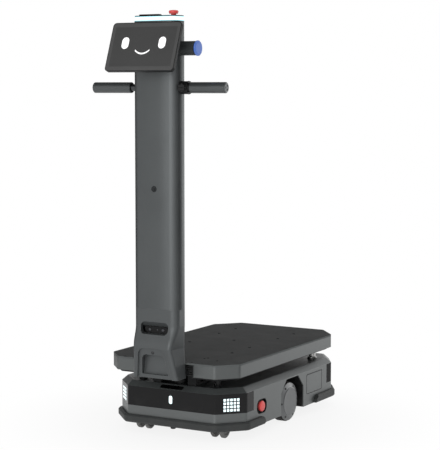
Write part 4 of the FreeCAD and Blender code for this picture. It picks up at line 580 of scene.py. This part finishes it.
bar_low, bar_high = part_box("depth_camera")
eye_low, eye_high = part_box("floor_camera")
bar_middle = (bar_low + bar_high) / 2
rims = bmesh.new()
domes = bmesh.new()
for spot, size in (((-stereo_reach, bar_low.y, bar_middle.z), stereo_lens),
                   ((stereo_reach, bar_low.y, bar_middle.z), stereo_lens),
                   ((colour_lens_x, bar_low.y, bar_middle.z), colour_lens),
                   ((0.0, eye_low.y - floor_lens_proud, eye_high.z - floor_lens_drop),
                    floor_lens)):
    turned(rims, [(size * share, height) for share, height in lens_profile], spot, (0, -1, 0))
    dome = turned(domes, [(size * share, height) for share, height in dome_profile], spot,
                  (0, -1, 0))
    domes.faces.new(dome[-1])
piece("camera_rims", rims, lens_rim, "chassis")
piece("camera_domes", domes, lens_glass, "chassis")

# The column isn't quite flat: its front face crowns towards both edges, and its sides roll in
# near the front corner. Both are very slight, so the paint only leans its normal for them.
mast_paint = surface("mast_paint", srgb(77, 80, 81), srgb(85, 88, 89), rough=(0.36, 0.44),
                     fineness=1300.0, depth=0.16, bare=srgb(124, 126, 126), metallic=0.6,
                     dust=0.02)
column_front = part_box("mast_column")[0].y
tree = mast_paint.node_tree
bump = next(node for node in tree.nodes if node.bl_idname == "ShaderNodeBump")
flat = bump.inputs["Normal"].links[0].from_socket
place = axes(tree, object_place(tree))
facing = axes(tree, add(tree, "NewGeometry").outputs["Normal"])
crown = ramp(tree, calc(tree, "ABSOLUTE", place["X"]), end=crown_reach, high=crown_lean,
             interpolation_type="SMOOTHSTEP")
outward = calc(tree, "MULTIPLY", crown, calc(tree, "SIGN", place["X"]))
on_front = ramp(tree, facing["Y"], start=-0.84, end=-1.0)
lean = calc(tree, "MULTIPLY", outward, on_front)
turn_in = ramp(tree, place["Y"], start=column_front + roll_start, end=column_front + roll_end,
               low=side_roll, high=0.0)
on_side = ramp(tree, calc(tree, "ABSOLUTE", facing["X"]), start=0.8, end=0.99)
bend = add(tree, "CombineXYZ", {0: lean, 1: calc(tree, "MULTIPLY", turn_in, on_side)})
bent = add(tree, "VectorMath", {0: flat, 1: bend.outputs[0]}, operation="ADD")
smooth = add(tree, "VectorMath", {0: bent.outputs[0]}, operation="NORMALIZE")
feed(tree, bump, {"Normal": smooth.outputs[0]})
give(mast_paint, "mast_column", "mast_rear_cover")


# ---- handlebar ----
# A steel tube passes through the mast with a rubber grip on each end. A black clamp collar
# with two pinch screws takes the play out, and a plug with three slots closes each grip.
plug_corners = 36
plug_slots = 3
slot_corners = 4
slot_depth = 0.0014
slotted_band = 3
plug_profile = ((0.0138, -0.0002), (0.0136, 0.0003), (0.0131, 0.0006), (0.0096, 0.0006),
                (0.0040, 0.0006))
pinch_screw_radius = 0.0042
pinch_screw_height = 0.0040
ear_shift = 0.006
ear_depth = 0.006
ear_half_height = 0.009
collar_reach = 0.020
band_starts = (0.0012, 0.0262)
band_profile = ((0.0201, 0.0), (0.0206, 0.0004), (0.0206, 0.0022), (0.0201, 0.0026))

give(surface("handle_steel", srgb(64, 66, 67), srgb(78, 80, 81), rough=(0.25, 0.35),
             fineness=300.0, depth=0.08, metallic=0.8), "handle_tube")
grip_rubber = surface("grip_rubber", srgb(74, 77, 78), srgb(82, 85, 86), rough=(0.3, 0.38),
                      fineness=900.0, depth=0.25, bare=srgb(96, 98, 98), metallic=0.45, dust=0.03)
give(grip_rubber, "handle_grip_left", "handle_grip_right")
clamp_black = surface("clamp_black", srgb(20, 20, 21), srgb(30, 30, 31), rough=(0.35, 0.5),
                      fineness=700.0, depth=0.2, bare=srgb(60, 60, 60), Specular_IOR_Level=0.25)
give(clamp_black, "handle_clamp")

for side, sign in (("left", 1), ("right", -1)):
    low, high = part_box(f"handle_grip_{side}")
    outward = Vector((sign, 0, 0))
    face = Vector((high.x if sign > 0 else low.x, (low.y + high.y) / 2, (low.z + high.z) / 2))
    plug = bmesh.new()
    rings = []
    for radius, rise in plug_profile:
        angles = [2 * math.pi * (step + 0.5) / plug_corners for step in range(plug_corners)]
        rings.append([plug.verts.new(face + outward * rise
                                     + Vector((0, -sign * radius * math.cos(a),
                                               radius * math.sin(a)))) for a in angles])
    for level, (outer, inner) in enumerate(zip(rings, rings[1:])):
        for step in range(plug_corners):
            after = (step + 1) % plug_corners
            top = [outer[step], outer[after], inner[after], inner[step]]
            in_slot = (step + 2) % (plug_corners // plug_slots) < slot_corners
            if level != slotted_band or not in_slot:
                plug.faces.new(top)
                continue
            deep = [plug.verts.new(corner.co - outward * slot_depth) for corner in top]
            plug.faces.new(deep)
            bridge(plug, [top, deep])
    plug.faces.new(rings[-1])
    bmesh.ops.remove_doubles(plug, verts=plug.verts, dist=0.00001)
    bmesh.ops.recalc_face_normals(plug, faces=plug.faces)
    piece(f"grip_plug_{side}", plug, grip_rubber, "chassis")

clamp_low, clamp_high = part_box("handle_clamp")
ear_middle = Vector(((clamp_low.x + clamp_high.x - ear_shift) / 2,
                     clamp_low.y + ear_depth, (clamp_low.z + clamp_high.z) / 2))
pinch = bmesh.new()
for sign in (-1, 1):
    screw(pinch, ear_middle + Vector((0, 0, sign * ear_half_height)), (0, 0, sign),
          pinch_screw_radius, pinch_screw_height, socket=0.5, sink=0.5)
piece("clamp_screw", pinch, black_screw, "chassis")
bands = bmesh.new()
for start in band_starts:
    turned(bands, band_profile, (clamp_low.x + start, clamp_high.y - collar_reach, ear_middle.z),
           (1, 0, 0), count=40)
piece("clamp_bands", bands, clamp_black, "chassis")


# ---- call button ----
# A blue push button with a raised centre in a round dark grey barrel on the mast's side.
# Both are moulded plastic, and a nut inside the mast holds the barrel.
give(surface("call_button_blue", srgb(74, 112, 198), srgb(90, 126, 206), rough=(0.3, 0.4),
             fineness=500.0, depth=0.05, bare=srgb(140, 160, 210), Specular_IOR_Level=0.3),
     "call_button")
give(surface("button_barrel", srgb(50, 53, 54), srgb(60, 63, 64), rough=(0.4, 0.52),
             fineness=700.0, depth=0.15, bare=srgb(84, 86, 87), Specular_IOR_Level=0.2),
     "call_button_housing")


# ---- display ----
# A tilted touch display on a short arm: a dark case, a flat glass with a slightly paler
# border, and a simple lit face of two upright eyes and a shallow smile.
border_side = 0.0105
border_up = 0.0130
border_blur = 0.0006
face_lift = 0.0003
face_taper = 0.985
eye_across = 0.066
eye_height = 0.012
eye_radius = 0.0125
eye_straight = 0.0065
eye_corners = 32
smile_height = -0.012
smile_reach = 0.026
smile_drop = 0.011
smile_half = 0.0024
smile_steps = 8

give(surface("display_case", srgb(16, 17, 18), srgb(26, 27, 28), rough=(0.35, 0.48),
             fineness=900.0, depth=0.15, bare=srgb(62, 63, 64), Specular_IOR_Level=0.2),
     "display_housing", "display_bracket")

glass = nodes["display_glass"].data
glass_low, glass_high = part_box("display_glass")
glass_middle = (glass_low + glass_high) / 2
glass_out = max(glass.polygons, key=lambda face: -face.normal.y * face.area).normal.copy()
glass_up = glass_out.cross(Vector((1, 0, 0)))
glass_up = glass_up if glass_up.z > 0 else -glass_up
reach_out = max((corner.co - glass_middle).dot(glass_out) for corner in glass.vertices)
reach_up = max((corner.co - glass_middle).dot(glass_up) for corner in glass.vertices)
reach_side = (glass_high.x - glass_low.x) / 2

display_panel, tree, shader = blank("display_panel")
place = object_place(tree)
texture, edge = grained(tree, place, fineness=300.0)
from_middle = add(tree, "VectorMath", {0: place, 1: glass_middle}, operation="SUBTRACT")
masks = []
for direction, reach, border in (((1, 0, 0), reach_side, border_side),
                                 (glass_up, reach_up, border_up)):
    distance = add(tree, "VectorMath", {0: from_middle.outputs[0], 1: direction},
                   operation="DOT_PRODUCT").outputs["Value"]
    masks.append(ramp(tree, calc(tree, "ABSOLUTE", distance), reach - border - border_blur,
                      reach - border + border_blur))
lit = blend(tree, texture["Tone"], srgb(66, 66, 66), srgb(70, 70, 70))
printed = blend(tree, texture["Tone"], srgb(76, 76, 76), srgb(81, 81, 81))
smears = clouds(tree, place, scale=18.0, detail=4.0, distortion=1.5)
feed(tree, shader, {"Base Color": blend(tree, calc(tree, "MAXIMUM", *masks), lit, printed),
                    "Roughness": ramp(tree, smears, low=0.3, high=0.44),
                    "Normal": edge["Normal"], "Specular IOR Level": 0.25})
give(display_panel, "display_glass")

screen_glow, tree, shader = blank("screen_glow")
cells = add(tree, "TexVoronoi", {"Vector": object_place(tree), "Scale": 900.0})
dots = ramp(tree, cells.outputs["Distance"], low=1.0, high=0.93)
shine = add(tree, "CombineColor", {0: dots, 1: dots, 2: dots})
feed(tree, shader, {"Emission Color": shine.outputs[0], "Emission Strength": 1.0,
                    "Base Color": (0.3, 0.3, 0.3, 1)})


def raised_shape(mesh, outline):
    """A closed outline, given as (across, up) on the glass, raised a little from it."""
    centre = sum((Vector(point) for point in outline), Vector((0, 0))) / len(outline)
    rings = []
    for grow, lift in ((1.0, 0.0), (face_taper, face_lift)):
        spots = [centre + (Vector(point) - centre) * grow for point in outline]
        rings.append([mesh.verts.new(glass_middle + Vector((spot.x, 0, 0)) + glass_up * spot.y
                                     + glass_out * (reach_out + lift)) for spot in spots])
    bridge(mesh, rings)
    mesh.faces.new(rings[1])


screen_face = bmesh.new()
eye_angles = [2 * math.pi * (step + 0.5) / eye_corners for step in range(eye_corners)]
for side in (-1, 1):
    raised_shape(screen_face, [
        (side * eye_across + eye_radius * math.cos(a),
         eye_height + math.copysign(eye_straight, math.sin(a)) + eye_radius * math.sin(a))
        for a in eye_angles])
smile_shares = [step / smile_steps - 1 for step in range(2 * smile_steps + 1)]
raised_shape(screen_face, [
    (smile_reach * share, smile_height - smile_drop * (1 - share ** 2) + lip * smile_half)
    for share, lip in ([(share, -1) for share in smile_shares]
                       + [(-share, 1) for share in smile_shares])])
piece("screen_face", screen_face, screen_glow, "chassis")


# ---- light ring, cap and top stop ----
# A lit diffuser ring closes the column, with a gloss black cap, a low antenna cover and
# the top stop button's contact block above it. Screws from inside the column hold them.
ring_white_half = 0.003
ring_edge_half = 0.0066
pure_white = (1, 1, 1, 1)
edge_cyan = (0.12, 0.7, 0.85, 1)

ring_low, ring_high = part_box("light_ring")
ring_glow, tree, shader = blank("light_ring_glow")
height = axes(tree, object_place(tree))["Z"]
from_middle = calc(tree, "SUBTRACT", height, (ring_low.z + ring_high.z) / 2)
rim = ramp(tree, calc(tree, "ABSOLUTE", from_middle), ring_white_half, ring_edge_half)
feed(tree, shader, {"Emission Color": blend(tree, rim, pure_white, edge_cyan),
                    "Emission Strength": 1.0, "Base Color": (0.4, 0.5, 0.5, 1)})
give(ring_glow, "light_ring")
give(surface("cap_black", srgb(14, 14, 15), srgb(20, 20, 21), rough=(0.12, 0.2), fineness=300.0,
             depth=0.03, Specular_IOR_Level=0.25),
     "top_cap", "antenna_cover")


# ---- studio ----
# A pale floor that fades to white away from the robot, two large soft lamps, an even
# surround, black cards that only reflections show, and the camera.
floor_half = 9.0
fade_start = 0.3
fade_end = 0.85
fade_least = 0.86
surround_strength = 0.68
lamp_aim = Vector((0, 0, 0.5))
card_distance = 1.3
card_half_height = 1.2
top_card_height = 2.1
top_card_half = 1.8


def seen_directly(tree):
    """1 for what the camera sees, straight, in a reflection or through glass, and 0 for the
    light that falls on the robot."""
    path = add(tree, "LightPath").outputs
    seen = calc(tree, "MAXIMUM", path["Is Camera Ray"], path["Is Glossy Ray"])
    return calc(tree, "MAXIMUM", seen, path["Is Transmission Ray"])


def lamp_panel(name, azimuth, height, distance, width, tall, power):
    """A soft panel lamp aimed at the robot. Azimuth 0 is in front, 90 on its left side."""
    light = bpy.data.lights.new(name, "AREA")
    light.shape = "RECTANGLE"
    light.size = width
    light.size_y = tall
    light.energy = power
    holder = bpy.data.objects.new(name, light)
    turn = math.radians(azimuth)
    holder.location = (distance * math.sin(turn), -distance * math.cos(turn), height)
    holder.rotation_euler = (lamp_aim - holder.location).to_track_quat("-Z", "Y").to_euler()
    holder.visible_camera = False
    bpy.context.scene.collection.objects.link(holder)


def dark_card(name, middle, across, rise):
    """A black card that only reflections show, which gives painted metal its darker bands."""
    card = bpy.data.meshes.new(name)
    card.from_pydata([middle - across - rise, middle + across - rise, middle + across + rise,
                      middle - across + rise], [], [(0, 1, 2, 3)])
    card.materials.append(card_black)
    holder = bpy.data.objects.new(name, card)
    for sight in ("camera", "diffuse", "transmission", "volume_scatter", "shadow"):
        setattr(holder, "visible_" + sight, False)
    bpy.context.scene.collection.objects.link(holder)


floor_mesh = bmesh.new()
bmesh.ops.create_grid(floor_mesh, x_segments=2, y_segments=2, size=floor_half)
floor_data = bpy.data.meshes.new("floor")
floor_mesh.to_mesh(floor_data)
floor_mesh.free()
floor = bpy.data.objects.new("floor", floor_data)
bpy.context.scene.collection.objects.link(floor)
floor_paint, tree, shader = blank("floor_paint")
feed(tree, shader, {"Base Color": (0.9, 0.9, 0.9, 1), "Roughness": 0.7,
                    "Specular IOR Level": 0.1})
away = add(tree, "VectorMath", {0: object_place(tree)}, operation="LENGTH").outputs["Value"]
fade = ramp(tree, away, fade_start, fade_end, fade_least, interpolation_type="SMOOTHSTEP")
white = add(tree, "Emission", {"Color": pure_white, "Strength": 1.0})
shown = calc(tree, "MULTIPLY", fade, seen_directly(tree))
faded = add(tree, "MixShader", {0: shown, 1: shader.outputs[0], 2: white.outputs[0]})
feed(tree, tree.nodes["Material Output"], {"Surface": faded.outputs[0]})
floor_data.materials.append(floor_paint)

world = bpy.data.worlds.new("surround")
bpy.context.scene.world = world
world.use_nodes = True
tree = world.node_tree
soft = tree.nodes["Background"]
feed(tree, soft, {"Color": pure_white, "Strength": surround_strength})
backdrop = add(tree, "Background", {"Color": pure_white, "Strength": 1.0})
either = add(tree, "MixShader", {0: seen_directly(tree), 1: soft.outputs[0],
                                 2: backdrop.outputs[0]})
feed(tree, tree.nodes["World Output"], {"Surface": either.outputs[0]})

card_black, tree, shader = blank("card_black")
feed(tree, shader, {"Base Color": (0.002, 0.002, 0.002, 1), "Roughness": 0.9,
                    "Specular IOR Level": 0.0})
lamp_panel("front_panel", azimuth=9, height=1.15, distance=3.6, width=2.1, tall=2.4, power=42)
lamp_panel("rear_panel", azimuth=154, height=0.65, distance=3.6, width=1.8, tall=1.3, power=17)
for name, azimuth, half_width in (("left_card", 103, 0.65), ("right_card", -104, 0.5)):
    turn = math.radians(azimuth)
    dark_card(name, Vector((card_distance * math.sin(turn),
                            column_front - card_distance * math.cos(turn), card_half_height)),
              Vector((math.cos(turn), math.sin(turn), 0)) * half_width,
              Vector((0, 0, card_half_height)))
dark_card("top_card", Vector((0, 0, top_card_height)), Vector((top_card_half, 0, 0)),
          Vector((0, top_card_half, 0)))

camera = bpy.data.cameras.new("camera")
camera.lens = 121.78
camera.sensor_width = 36.0
viewer = bpy.data.objects.new("camera", camera)
viewer.location = (2.499, -4.3913, 1.115)
viewer.rotation_euler = (math.radians(84.82), 0, math.radians(29.55))
bpy.context.scene.collection.objects.link(viewer)
bpy.context.scene.camera = viewer
bpy.context.scene.view_settings.view_transform = "Standard"
